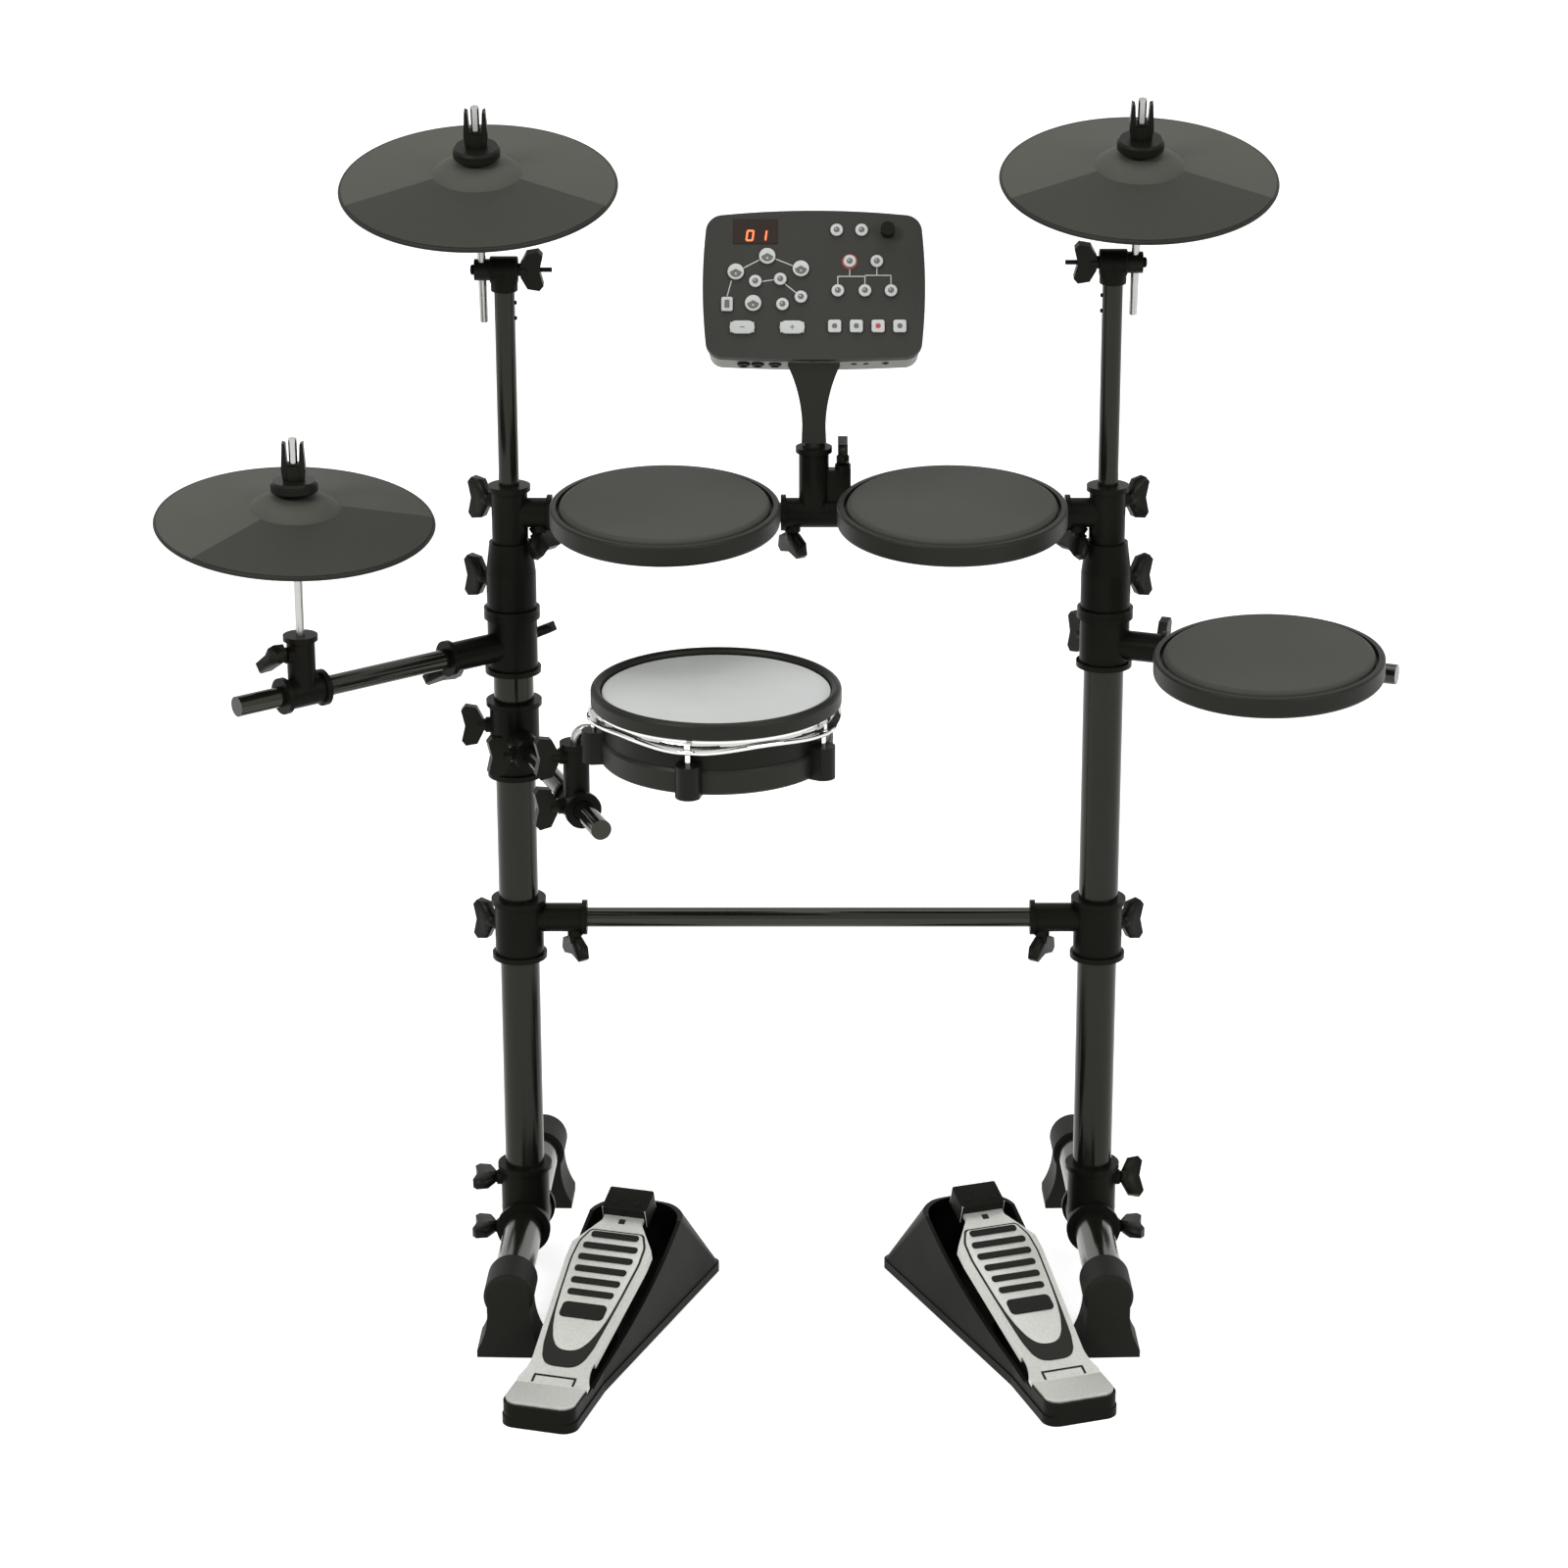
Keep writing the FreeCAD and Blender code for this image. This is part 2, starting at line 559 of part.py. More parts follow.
def module_clamp():
    """The clamp on the upper crossbar that carries the module's neck in an upright sleeve."""
    start = d.module_x - d.module_clamp_length / 2
    lying = sleeve(bar_socket, d.module_clamp_length, vec(start, 0, upper_bar_height), RIGHT)
    upright = sleeve(d.module_sleeve_radius, d.module_sleeve_rise,
                     vec(d.module_x, 0, upper_bar_height), UP, (False, True))
    ear_height = d.module_sleeve_rise - d.boss_drop - d.boss_length / 2
    ear = box(d.module_ear_offset + d.boss_radius, d.boss_radius * 1.6, ear_height,
              vec(d.module_x + (d.module_ear_offset + d.boss_radius) / 2, 0, upper_bar_height))
    bores = [
        cylinder(bar_bore, d.module_clamp_length + d.overrun * 2, vec(start - d.overrun, 0, upper_bar_height), RIGHT),
        cylinder(d.neck_radius + d.running_gap, module_sleeve_top, vec(d.module_x, 0, neck_bore_floor)),
    ]
    return clamp(lying + upright + [ear], bores, MODULE_SPOTS)


node("columns", columns())
node("leg_tubes", leg_tubes())
node("leg_clamps", leg_clamps())
node("leg_feet", leg_feet())
node("lower_crossbar", crossbar(d.lower_bar_height, lower_bar_clear))
node("upper_crossbar", crossbar(upper_bar_height, upper_bar_clear))
node("crossbar_tees", crossbar_tees())
node("top_collars", top_collars())
node("top_tees", top_tees())
node("module_clamp", module_clamp())
left_spots = [LEG * spot for spot in LEG_SPOTS] + LOWER_TEE_SPOTS + COLLAR_SPOTS + TOP_TEE_SPOTS
node("rack_wing_bolts", placed_copies(WING, left_spots + [mirror_seat(spot) for spot in left_spots] + MODULE_SPOTS))


def cymbal():
    """A rubber cymbal pad about its rod: rim plane at zero, bow and bell above it."""
    rim, bell_edge = d.cymbal_radius, d.bell_radius
    bell_top = d.cymbal_drop + d.bell_rise
    dome = d.bell_radius * 1.1
    hole = d.cymbal_hole_radius
    lip = d.cymbal_thick / 2
    return turned([
        (hole, bell_top - d.cymbal_thick), (bell_edge, d.cymbal_drop - d.cymbal_thick, dome, 1),
        (rim - lip, -lip - 1), (rim, -lip + 1, lip, -1), (rim - lip, 0, lip, -1),
        (bell_edge, d.cymbal_drop), (hole, bell_top, dome, -1),
    ])


def cymbal_fittings(height):
    """The sleeve under a cymbal, the washer over it and its tall wing nut, by the rim's height on the rod."""
    rod_hole = d.rod_radius + d.tube_fit
    bell_top = height + d.cymbal_drop + d.bell_rise
    washer_base = bell_top + d.bell_play
    flange_top = bell_top - d.cymbal_thick - d.bell_play
    flange_base = flange_top - d.sleeve_flange_height
    bush = turned([
        (rod_hole, flange_base), (d.sleeve_flange_radius, flange_base), (d.sleeve_flange_radius, flange_top),
        (d.cymbal_sleeve_radius, flange_top), (d.cymbal_sleeve_radius, washer_base), (rod_hole, washer_base),
    ])
    edge = d.washer_edge
    washer_top = washer_base + d.washer_height
    washer = turned([
        (rod_hole, washer_base), (d.washer_radius - edge, washer_base), (d.washer_radius, washer_base + edge),
        (d.washer_radius, washer_top - edge), (d.washer_radius - edge, washer_top), (rod_hole, washer_top),
    ])
    side, top, foot, lip = d.cymbal_nut_width / 2, d.cymbal_nut_height, d.cymbal_nut_foot, d.cymbal_nut_lip
    prong, crotch = d.rod_radius + lip, foot + d.rod_radius + lip
    wings = plate([
        (lip - side, 0), (side - lip, 0), (side, foot), (side - lip, top), (side - lip * 3, top - lip),
        (prong, crotch), (-prong, crotch), (lip * 3 - side, top - lip), (lip - side, top), (-side, foot),
    ], d.cymbal_nut_thick, "XZ_Plane")
    wings.Placement = Placement(vec(0, d.cymbal_nut_thick / 2, washer_top), Rotation())
    barrel = cylinder(d.cymbal_nut_thick * 0.8, foot + lip * 2, vec(0, 0, washer_top))
    nut = cut(fuse(wings, barrel),
              cylinder(rod_hole, d.cymbal_nut_height + d.overrun * 2, vec(0, 0, washer_top - d.overrun)))
    return [bush, washer, nut]


def cymbal_stand(name, side, pivot_height):
    """A tilting cymbal on its telescopic tube; side is -1 on the left column and 1 on the right."""
    foot = vec(half * side, 0, 0)
    outward = RIGHT * side
    tail, stand_top = collar_bottom + d.stand_tail_rise, pivot_height - d.pivot_above_tube
    node(f"{name}_tube", tube(d.bar_radius, d.bar_wall, stand_top - tail, vec(0, 0, tail), UP),
         Placement(foot, Rotation()))

    pivot = vec(0, 0, pivot_height)
    inner_face = -outward * float(d.barrel_length / 2)
    outer_face = outward * float(d.barrel_length / 2)
    skirt_foot = stand_top - d.block_skirt
    skirt = cylinder(d.block_radius, d.pivot_above_tube + d.block_skirt, vec(0, 0, skirt_foot))
    barrel = cylinder(d.block_radius, d.barrel_length, pivot - RIGHT * float(d.barrel_length / 2), RIGHT)
    bores = [
        cylinder(d.bar_radius + d.tube_fit, d.block_skirt + d.overrun, vec(0, 0, skirt_foot - d.overrun)),
        cylinder(d.tilt_bolt_radius + d.tube_fit, d.barrel_length + d.overrun * 2,
                 pivot - RIGHT * float(d.barrel_length / 2 + d.overrun), RIGHT),
    ]
    node(f"{name}_rod_block", cut(fuse(barrel, skirt), *bores), Placement(foot, Rotation()))

    eye_base = outer_face + outward * float(d.seat_gap)
    rod_x = float(d.barrel_length / 2 + d.seat_gap + d.eye_width / 2) * side
    eye = cylinder(d.eye_radius, d.eye_width, eye_base, outward)
    shaft = cylinder(d.tilt_bolt_radius, d.barrel_length + d.seat_gap * 2, inner_face - outward * float(d.seat_gap),
                     outward)
    rod_hole = cylinder(d.rod_radius + d.tube_fit, d.eye_radius * 4, vec(rod_x, 0, -d.eye_radius * 2))
    eye_bolt = cut(fuse(eye, shaft), rod_hole)
    tilt_nut = wing_nut()
    tilt_nut.Placement = seat(inner_face - outward * float(d.seat_gap), -outward)
    on_rod = [moved(piece, Placement(vec(rod_x, 0, 0), Rotation())) for piece in cymbal_fittings(d.cymbal_on_rod)]
    tilt = Placement(foot + pivot, Rotation(RIGHT, float(d.cymbal_tilt)))
    node(f"{name}_fittings", group(eye_bolt, tilt_nut, *on_rod), tilt)
    node(f"{name}_rod", cylinder(d.rod_radius, d.rod_above + d.rod_below, vec(rod_x, 0, -d.rod_below)), tilt)
    node(f"{name}_cymbal", cymbal(), tilt * Placement(vec(rod_x, 0, d.cymbal_on_rod), Rotation()))


def wing_nut():
    """A wing bolt's head alone, for a bolt that comes from the other side."""
    below = d.wing_shank_length + d.overrun
    return cut(wing_bolt(), cylinder(d.wing_shank_radius * 2, below, vec(0, 0, -below)))


def capped_bar(start, reach, height):
    """A tube along +X from near its clamp to a closed end."""
    bar = cylinder(d.bar_radius, reach - start, vec(start, 0, height), RIGHT)
    bore = cylinder(d.bar_radius - d.bar_wall, reach - start - d.bar_cap + d.overrun,
                    vec(start - d.overrun, 0, height), RIGHT)
    return cut(bar, bore)


arm_start = column_sleeve
clamp_top = collar_bottom - d.seat_gap


def arm_clamp(bottom, top, height, reach, spots):
    """A clamp that turns on a column, with a socket for an arm along +X."""
    upright = sleeve(column_sleeve, top - bottom, vec(0, 0, bottom))
    arm = sleeve(bar_socket, reach, vec(0, 0, height), RIGHT, (False, True))
    bores = [
        cylinder(d.column_radius + d.running_gap, top, vec(0, 0, bottom - d.overrun)),
        cylinder(bar_bore, reach, vec(arm_start, 0, height), RIGHT),
    ]
    return clamp(upright + arm, bores, spots)


hat_arm_height = collar_bottom - d.hat_arm_drop
hat_clamp_bottom = hat_arm_height - d.hat_clamp_below


def hi_hat():
    """The hi-hat cymbal on a rod at the end of an arm from the left column."""
    place = Placement(LEFT, Rotation(UP, 180 + float(d.hat_arm_yaw)))
    arm_z, along = hat_arm_height, d.hat_arm_reach - d.hat_rod_inset
    holder_top = arm_z + d.hat_holder_rise
    slant = (-UP - BACK).normalize()
    spots = [
        side_seat(column_sleeve, d.hat_wing_turn, arm_z, 65),
        seat(vec(d.hat_socket_reach - d.boss_inset, 0, arm_z) + slant * float(socket_under), slant),
    ]
    holder_spots = [seat(vec(along + d.hat_holder_radius + d.boss_reach, 0, holder_top - d.boss_drop), RIGHT, 0)]
    node("hihat_arm_clamp", arm_clamp(hat_clamp_bottom, clamp_top, arm_z, d.hat_socket_reach, spots), place)
    node("hihat_arm", capped_bar(arm_start, d.hat_arm_reach, arm_z), place)

    lying = sleeve(bar_socket, d.hat_holder_length, vec(along - d.hat_holder_length / 2, 0, arm_z), RIGHT)
    upright = sleeve(d.hat_holder_radius, d.hat_holder_rise, vec(along, 0, arm_z), UP, (False, True))
    rod_floor = arm_z + d.bar_radius + d.bar_wall
    bores = [
        cylinder(bar_bore, d.hat_holder_length + d.overrun * 2,
                 vec(along - d.hat_holder_length / 2 - d.overrun, 0, arm_z), RIGHT),
        cylinder(d.rod_radius + d.tube_fit, d.hat_holder_rise, vec(along, 0, rod_floor)),
    ]
    node("hihat_holder", clamp(lying + upright, bores, holder_spots), place)
    node("hihat_wing_bolts", placed_copies(WING, spots + holder_spots), place)

    rod_base, rim = rod_floor + d.hat_rod_play, holder_top + d.hat_cymbal_rise
    on_rod = place * Placement(vec(along, 0, 0), Rotation())
    upright_rod = Placement(on_rod.Base, Rotation())
    node("hihat_rod", cylinder(d.rod_radius, rim + d.hat_rod_above - rod_base, vec(0, 0, rod_base)), upright_rod)
    node("hihat_fittings", group(*cymbal_fittings(rim)), upright_rod)
    bell = d.cymbal_drop + d.bell_rise - d.cymbal_thick / 2
    hang = Placement(vec(0, 0, rim + bell),
                     Rotation(BACK, float(d.hat_roll)) * Rotation(RIGHT, float(d.hat_tilt)))
    node("hihat_cymbal", cymbal(), upright_rod * hang * Placement(vec(0, 0, -bell), Rotation()))


def tom(name, place):
    """A rubber drum pad with its bracket behind; place is the bar's axis under the bracket."""
    rim, depth, edge = d.tom_radius, d.tom_depth, d.tom_rim_edge
    floor = -d.tom_pad_depth - d.seat_gap
    round_edge = d.tom_wall
    tray = turned([
        (0, -depth), (rim - round_edge, -depth), (rim, round_edge - depth, round_edge * 1.05, -1),
        (rim, -d.tom_groove - edge), (rim - edge, -d.tom_groove, edge * 1.05, -1),
        (rim - d.tom_rim_width, -d.tom_groove), (rim - d.tom_rim_width, floor), (0, floor),
    ])
    bar_y, bar_z = d.tom_reach, -depth - d.bar_radius - d.tom_lift
    width, bracket_radius = d.tom_bracket_width, d.bar_radius + d.tom_bracket_wall
    grip = cylinder(bracket_radius, width, vec(-width / 2, bar_y, bar_z), RIGHT)
    web = box(width, bracket_radius * 2, d.bar_radius + d.tom_lift + d.tom_wall, vec(0, bar_y, bar_z))
    bore = cylinder(d.bar_radius + d.running_gap, width + d.overrun * 2,
                    vec(-width / 2 - d.overrun, bar_y, bar_z), RIGHT)
    to_bar = Placement(vec(0, -bar_y, -bar_z), Rotation())
    node(f"{name}_shell", cut(fuse(tray, grip, web), bore), place * to_bar)
    pad_edge = d.tom_pad_radius
    soft = d.tom_pad_depth / 2
    pad = turned([
        (0, -d.tom_pad_depth), (pad_edge, -d.tom_pad_depth), (pad_edge, -soft),
        (pad_edge - soft, 0, soft * 1.05, -1), (0, 0),
    ])
    node(f"{name}_pad", pad, place * to_bar)


def floor_tom():
    """The third tom, on a bar from a clamp on the right column."""
    place = Placement(-LEFT, Rotation(UP, -float(d.floor_bar_yaw)))
    bar_z = collar_bottom - d.floor_bar_drop
    spots = [
        side_seat(column_sleeve, d.floor_wing_turn, bar_z),
        seat(vec(d.floor_socket_reach - d.boss_inset, socket_under, bar_z), BACK),
    ]
    node("floor_tom_clamp",
         arm_clamp(bar_z - d.floor_clamp_below, clamp_top, bar_z, d.floor_socket_reach, spots), place)
    node("floor_tom_bar", capped_bar(arm_start, d.floor_bar_reach, bar_z), place)
    node("floor_tom_wing_bolts", placed_copies(WING, spots), place)
    on_bar = Placement(vec(d.floor_bar_reach - d.floor_tom_inset, 0, bar_z),
                       Rotation(RIGHT, float(d.floor_tom_tilt)))
    tom("floor_tom", place * on_bar)


cymbal_stand("crash", -1, tee_top + d.crash_rise)
cymbal_stand("ride", 1, tee_top + d.ride_rise)
hi_hat()
for tom_name, tom_side in (("left_tom", -1), ("right_tom", 1)):
    tom_bar = vec(d.tom_x * tom_side, 0, upper_bar_height)
    tom(tom_name, Placement(tom_bar, Rotation(RIGHT, float(d.tom_tilt))))
floor_tom()


def around(middle, radius, count, start):
    """Points on a level circle, with the angle of each."""
    turns = [start + 360.0 * number / count for number in range(count)]
    return [(turn, middle + Rotation(UP, turn).multVec(RIGHT) * float(radius)) for turn in turns]


def snare():
    """The mesh snare on an arm from the left column: arm, tilting holder and the drum on its post."""
    place = Placement(LEFT, Rotation(UP, float(d.snare_arm_yaw) - 90))
    clamp_rim = hat_clamp_bottom - d.clamp_spacing
    arm_z = clamp_rim - d.snare_clamp_above
    spots = [
        side_seat(column_sleeve, 270 - float(d.snare_arm_yaw), clamp_rim - d.snare_clamp_boss),
        seat(vec(d.snare_socket_reach - d.boss_inset, -socket_under, arm_z), -BACK),
    ]
    node("snare_arm_clamp",
         arm_clamp(arm_z - d.snare_clamp_below, clamp_rim, arm_z, d.snare_socket_reach, spots), place)
    node("snare_arm", capped_bar(arm_start, d.snare_arm_reach, arm_z), place)
    node("snare_arm_wing_bolts", placed_copies(WING, spots), place)

    along, length = d.snare_arm_reach - d.snare_post_inset, d.snare_holder_length
    holder_top = arm_z + d.snare_holder_rise
    holder_spots = [
        seat(vec(along, -socket_under, arm_z), -BACK),
        seat(vec(along, -d.snare_holder_radius - d.boss_reach, holder_top - d.boss_inset), -BACK),
    ]
    lying = sleeve(bar_socket, length, vec(along - length / 2, 0, arm_z), RIGHT)
    upright = sleeve(d.snare_holder_radius, d.snare_holder_rise, vec(along, 0, arm_z), UP, (False, True))
    post_floor = arm_z + d.bar_radius + d.bar_wall * 2
    bores = [
        cylinder(d.bar_radius + d.running_gap, length + d.overrun * 2,
                 vec(along - length / 2 - d.overrun, 0, arm_z), RIGHT),
        cylinder(d.snare_post_radius + d.tube_fit, d.snare_holder_rise, vec(along, 0, post_floor)),
    ]
    node("snare_holder", clamp(lying + upright, bores, holder_spots), place)
    node("snare_holder_wing_bolts", placed_copies(WING, holder_spots), place)

    post_height = float(holder_top + d.snare_post_rise)
    post_foot = place.multVec(vec(along, 0, post_floor + d.snare_post_foot))
    inward = (place.Rotation * Rotation(UP, float(d.snare_turn))).multVec(RIGHT)
    bend = float(d.snare_post_bend)
    corner = Vector(post_foot.x, post_foot.y, post_height)
    lower, outer = corner - UP * bend, corner + inward * bend
    knee = corner + (inward - UP) * (bend * (1 - math.sqrt(0.5)))
    tip = corner + inward * float(d.snare_standoff + d.snare_shell_wall / 2)
    path = Part.Wire([Part.LineSegment(post_foot, lower).toShape(), Part.Arc(lower, knee, outer).toShape(),
                      Part.LineSegment(outer, tip).toShape()])
    section = Part.Wire([Part.Circle(post_foot, UP, float(d.snare_post_radius)).toShape()])
    post = doc.addObject("Part::Feature", "post")
    post.Shape = path.makePipeShell([section], True, False)
    node("snare_post", post)

    wall_in, wall_out = d.snare_shell_radius - d.snare_shell_wall, d.snare_shell_radius
    middle = corner + inward * float(d.snare_standoff + wall_out) + UP * float(d.snare_post_drop)
    drum = Placement(middle, Rotation())
    bottom, head, edge = -d.snare_shell_depth, -d.snare_head_thick, d.snare_edge
    shell = turned([
        (0, bottom), (wall_out - edge, bottom), (wall_out, bottom + edge, edge * 1.05, -1), (wall_out, head - edge),
        (wall_out - edge, head), (wall_in, head), (wall_in, bottom + d.snare_floor), (0, bottom + d.snare_floor),
    ])
    lug_circle = wall_out + d.snare_lug_offset
    lug_spots = around(Vector(), lug_circle, int(float(d.snare_lugs)), float(d.snare_lug_start))
    lugs = [cylinder(d.snare_lug_radius, d.snare_lug_height, spot + UP * float(bottom)) for turn, spot in lug_spots]
    webs = [box(d.snare_lug_radius * 1.4, d.snare_lug_radius * 2, d.snare_lug_height,
                spot * float(1 - d.snare_lug_offset / lug_circle / 2) + UP * float(bottom), Rotation(UP, turn))
            for turn, spot in lug_spots]
    rod_tip = bottom + d.snare_lug_height - d.snare_rod_depth
    lug_holes = [cylinder(d.snare_rod_radius + d.tube_fit, d.snare_rod_depth + d.overrun,
                          spot + UP * float(rod_tip - d.seat_gap)) for turn, spot in lug_spots]
    post_axis = corner - middle
    socket_face = d.snare_standoff - d.snare_socket_length
    socket_depth = d.snare_socket_length + d.snare_shell_wall / 2
    socket = cylinder(d.snare_post_radius + d.snare_socket_wall, socket_depth,
                      post_axis + inward * float(socket_face), inward)
    post_hole = cylinder(d.snare_post_radius + d.tube_fit, socket_depth + d.overrun,
                         post_axis + inward * float(socket_face - d.overrun), inward)
    node("snare_shell", cut(fuse(shell, socket, *lugs, *webs), post_hole, *lug_holes), drum)

    bead = wall_out + d.seat_gap
    bead_out = bead + d.snare_bead_wall
    hoop_in = bead_out + d.seat_gap
    hoop_out = hoop_in + d.snare_hoop_wall
    lip, lip_thick = hoop_out + d.snare_flange_thick, d.snare_hoop_wall
    rim_base = d.snare_rim_proud - d.snare_rim_height
    node("snare_head", turned([
        (0, head), (bead, head), (bead, rim_base), (bead_out, rim_base), (bead_out, 0), (0, 0),
    ]), drum)
    flange_low = rim_base - d.snare_hoop_height
    flange_top, flange_out = flange_low + d.snare_flange_thick, hoop_out + d.snare_flange_rim
    ring = turned([
        (hoop_in, flange_low), (flange_out, flange_low), (flange_out, flange_top), (hoop_out, flange_top),
        (hoop_out, rim_base - lip_thick), (lip, rim_base - lip_thick), (lip, rim_base), (hoop_in, rim_base),
    ])
    flange_holes = [cylinder(d.snare_rod_radius + d.tube_fit, d.snare_flange_thick + d.overrun * 2,
                             spot + UP * float(flange_low - d.overrun)) for turn, spot in lug_spots]
    node("snare_hoop", cut(ring, *flange_holes), drum)
    rim_in = hoop_in + d.seat_gap
    rim_out = rim_in + d.snare_rim_wall
    soft, rim_top = d.snare_rim_wall / 2, d.snare_rim_proud
    node("snare_rim", turned([
        (rim_in, rim_base), (rim_out, rim_base), (rim_out, rim_top - soft),
        (rim_out - soft, rim_top, soft * 1.05, -1), (rim_in, rim_top - soft, soft * 1.05, -1),
    ]), drum)
    rod_head = d.snare_rod_radius * 2
    rod = fuse(cylinder(d.snare_rod_radius, flange_top - rod_tip, UP * float(rod_tip)),
               cylinder(d.snare_rod_radius + d.snare_rod_collar, d.snare_rod_collar, UP * float(flange_top)),
               box(rod_head, rod_head, d.snare_rod_head, UP * float(flange_top)))
    doc.recompute()
    spots_in_drum = [Placement(spot, Rotation(UP, turn)) for turn, spot in lug_spots]
    node("snare_tension_rods", placed_copies(rod, spots_in_drum), drum)


snare()


def case_outline(width, height, corner, bulge):
    """A softly barrelled panel outline, standing on its lower edge."""
    side, turn = width / 2, corner * 1.02
    long_arc = width * width / (bulge * 8)
    tall_arc = height * height / (bulge * 6)
    return [
        (side - corner, 0, long_arc * 2, -1), (side, corner, turn, -1), (side, height - corner, tall_arc, -1),
        (side - corner, height, turn, -1), (corner - side, height, long_arc, -1),
        (-side, height - corner, turn, -1), (-side, corner, tall_arc, -1), (corner - side, 0, turn, -1),
    ]


# Places on the panel from the middle of its lower edge, in hundredths of its width and height.
LARGE_KEYS = [(-36, 59.6), (-21.5, 70.6), (-6, 61.8), (-28, 37.5)]
SMALL_KEYS = [(-27, 52.9), (-15.5, 54.4), (-6, 41.9), (-14.5, 36.8), (10.5, 89), (22, 89),
              (16.5, 66.9), (29, 66.9), (11, 46.3), (23.5, 46.3), (35.5, 46.3)]
SQUARE_KEYS = [(9.5, 21.3), (19.5, 21.3), (29.5, 21.3), (39.5, 21.3), (-40, 36.8)]
STEP_KEYS = [(-33, 20.6), (-10, 20.6)]
KNOB_PLACE = (34, 88.2)
DISPLAY_PLACE = (-27, 88.2)
JACK_PLACES = [-32.5, -26, -18]
PLUG_PLACES = [18.5, 24, 33]
neck_flare_start = module_sleeve_top + d.neck_stem
neck_top = neck_flare_start + d.neck_flare_height
MODULE = Placement(vec(d.module_x, -d.module_forward, neck_top + d.module_rise),
                   Rotation(RIGHT, 90 - float(d.module_lean)))


def on_panel(place, height=0.0):
    return vec(d.module_width * (place[0] / 100), d.module_height * (place[1] / 100), height)


def keys(grow, low, height):
    """The round and the square keys, or with a clearance the wells that they sit in."""
    rounds = [cylinder(radius + grow, height, on_panel(place, low))
              for places, radius in ((LARGE_KEYS, d.large_key_radius), (SMALL_KEYS, d.small_key_radius))
              for place in places]
    side = d.square_key_side + grow * 2
    blocks = [box(length + grow * 2, side, height, on_panel(place, low))
              for places, length in ((SQUARE_KEYS, d.square_key_side), (STEP_KEYS, d.step_key_length))
              for place in places]
    return rounds, blocks


def module():
    """The sound module on its flared neck, with its keys, display and volume knob."""
    front_depth, rear_depth = d.module_front_depth, d.module_rear_depth
    key_depth = d.key_travel + d.key_root
    well = key_depth + d.key_travel + d.running_gap
    rounds, blocks = keys(sized(0), -key_depth, key_depth + d.key_proud)
    round_wells, block_wells = keys(d.running_gap, -well, well + d.overrun)
    knob_at, window_at = on_panel(KNOB_PLACE), on_panel(DISPLAY_PLACE)
    spindle, window_depth = d.knob_spindle, d.display_depth
    spindle_well = cylinder(d.knob_radius / 2 + d.running_gap, spindle + d.key_root + d.overrun,
                            knob_at - UP * float(spindle + d.key_root))
    window = box(d.display_width, d.display_height, window_depth + d.overrun, window_at - UP * float(window_depth))

    front = plate(case_outline(d.module_width, d.module_height, d.module_corner, d.module_bulge), front_depth)
    front.Placement = Placement(vec(0, 0, -front_depth), Rotation())
    node("module_front", cut(front, *round_wells, *block_wells, spindle_well, window), MODULE)
    node("module_display", box(d.display_width - d.seat_gap * 2, d.display_height - d.seat_gap * 2,
                               window_depth + d.display_proud, window_at - UP * float(window_depth)), MODULE)
    node("module_round_keys", group(*rounds), MODULE)
    node("module_flat_keys", group(*blocks), MODULE)
    knob = fuse(cylinder(d.knob_radius, d.knob_height, knob_at + UP * float(d.seat_gap)),
                cylinder(d.knob_radius / 2, spindle + d.key_root, knob_at - UP * float(spindle)))
    node("module_knob", knob, MODULE)

    inset = d.module_wall
    rear = plate(case_outline(d.module_width - inset * 2, d.module_height - inset * 2, d.module_corner - inset,
                              d.module_bulge), rear_depth)
    rear.Placement = Placement(vec(0, inset, -front_depth - rear_depth), Rotation())
    room_width, room_height = d.module_width - d.module_corner * 2, d.module_height - d.module_corner * 2
    room_floor = -front_depth - rear_depth + inset
    room = box(room_width, room_height, rear_depth, vec(0, d.module_height / 2, room_floor))
    pillar_x, pillar_y, middle = room_width * 0.4, room_height * 0.36, d.module_height / 2
    pillar_places = [vec(pillar_x * x, middle + pillar_y * y, room_floor - inset / 2) for x in (-1, 1) for y in (-1, 1)]
    pillars = [cylinder(d.pillar_radius, d.pillar_height + inset / 2, spot) for spot in pillar_places]
    jacks = [cylinder(radius, d.overrun + inset + d.jack_depth,
                      vec(d.module_width * (x / 100), -d.overrun, -front_depth - rear_depth / 2), BACK)
             for row, radius in ((JACK_PLACES, d.jack_radius), (PLUG_PLACES, d.plug_radius)) for x in row]
    node("module_rear", fuse(cut(rear, room, *jacks), *pillars), MODULE)
    node("module_board", box(room_width - d.board_gap * 2, room_height - d.board_gap * 2, d.board_sheet,
                             vec(0, d.module_height / 2, room_floor + d.pillar_height)), MODULE)

    start, flare, top = neck_bore_floor + d.neck_end_gap, neck_flare_start, neck_top
    root, sweep, crown = d.neck_radius * 1.1, d.neck_flare * 6, neck_top + d.neck_flare
    stem = cylinder(d.neck_radius, flare - start + d.neck_end_gap, vec(0, 0, start))
    horn = plate([
        (-root, flare, sweep, 1), (root, flare), (d.neck_flare, top, sweep, 1),
        (d.neck_flare, crown), (-d.neck_flare, crown), (-d.neck_flare, top),
    ], d.neck_radius * 2 + root, "XZ_Plane")
    horn.Placement = Placement(vec(0, d.neck_radius * 2, 0), Rotation())
    neck = fuse(stem, horn)
    neck.Placement = MODULE.inverse() * Placement(vec(d.module_x, 0, 0), Rotation())
    back = -front_depth - rear_depth
    carrier = box(d.neck_flare * 1.7, d.carrier_length, d.carrier_thick,
                  vec(0, d.carrier_length / 2 + inset, back - d.carrier_thick))
    node("module_neck", cut(fuse(neck, carrier), front, rear), MODULE)


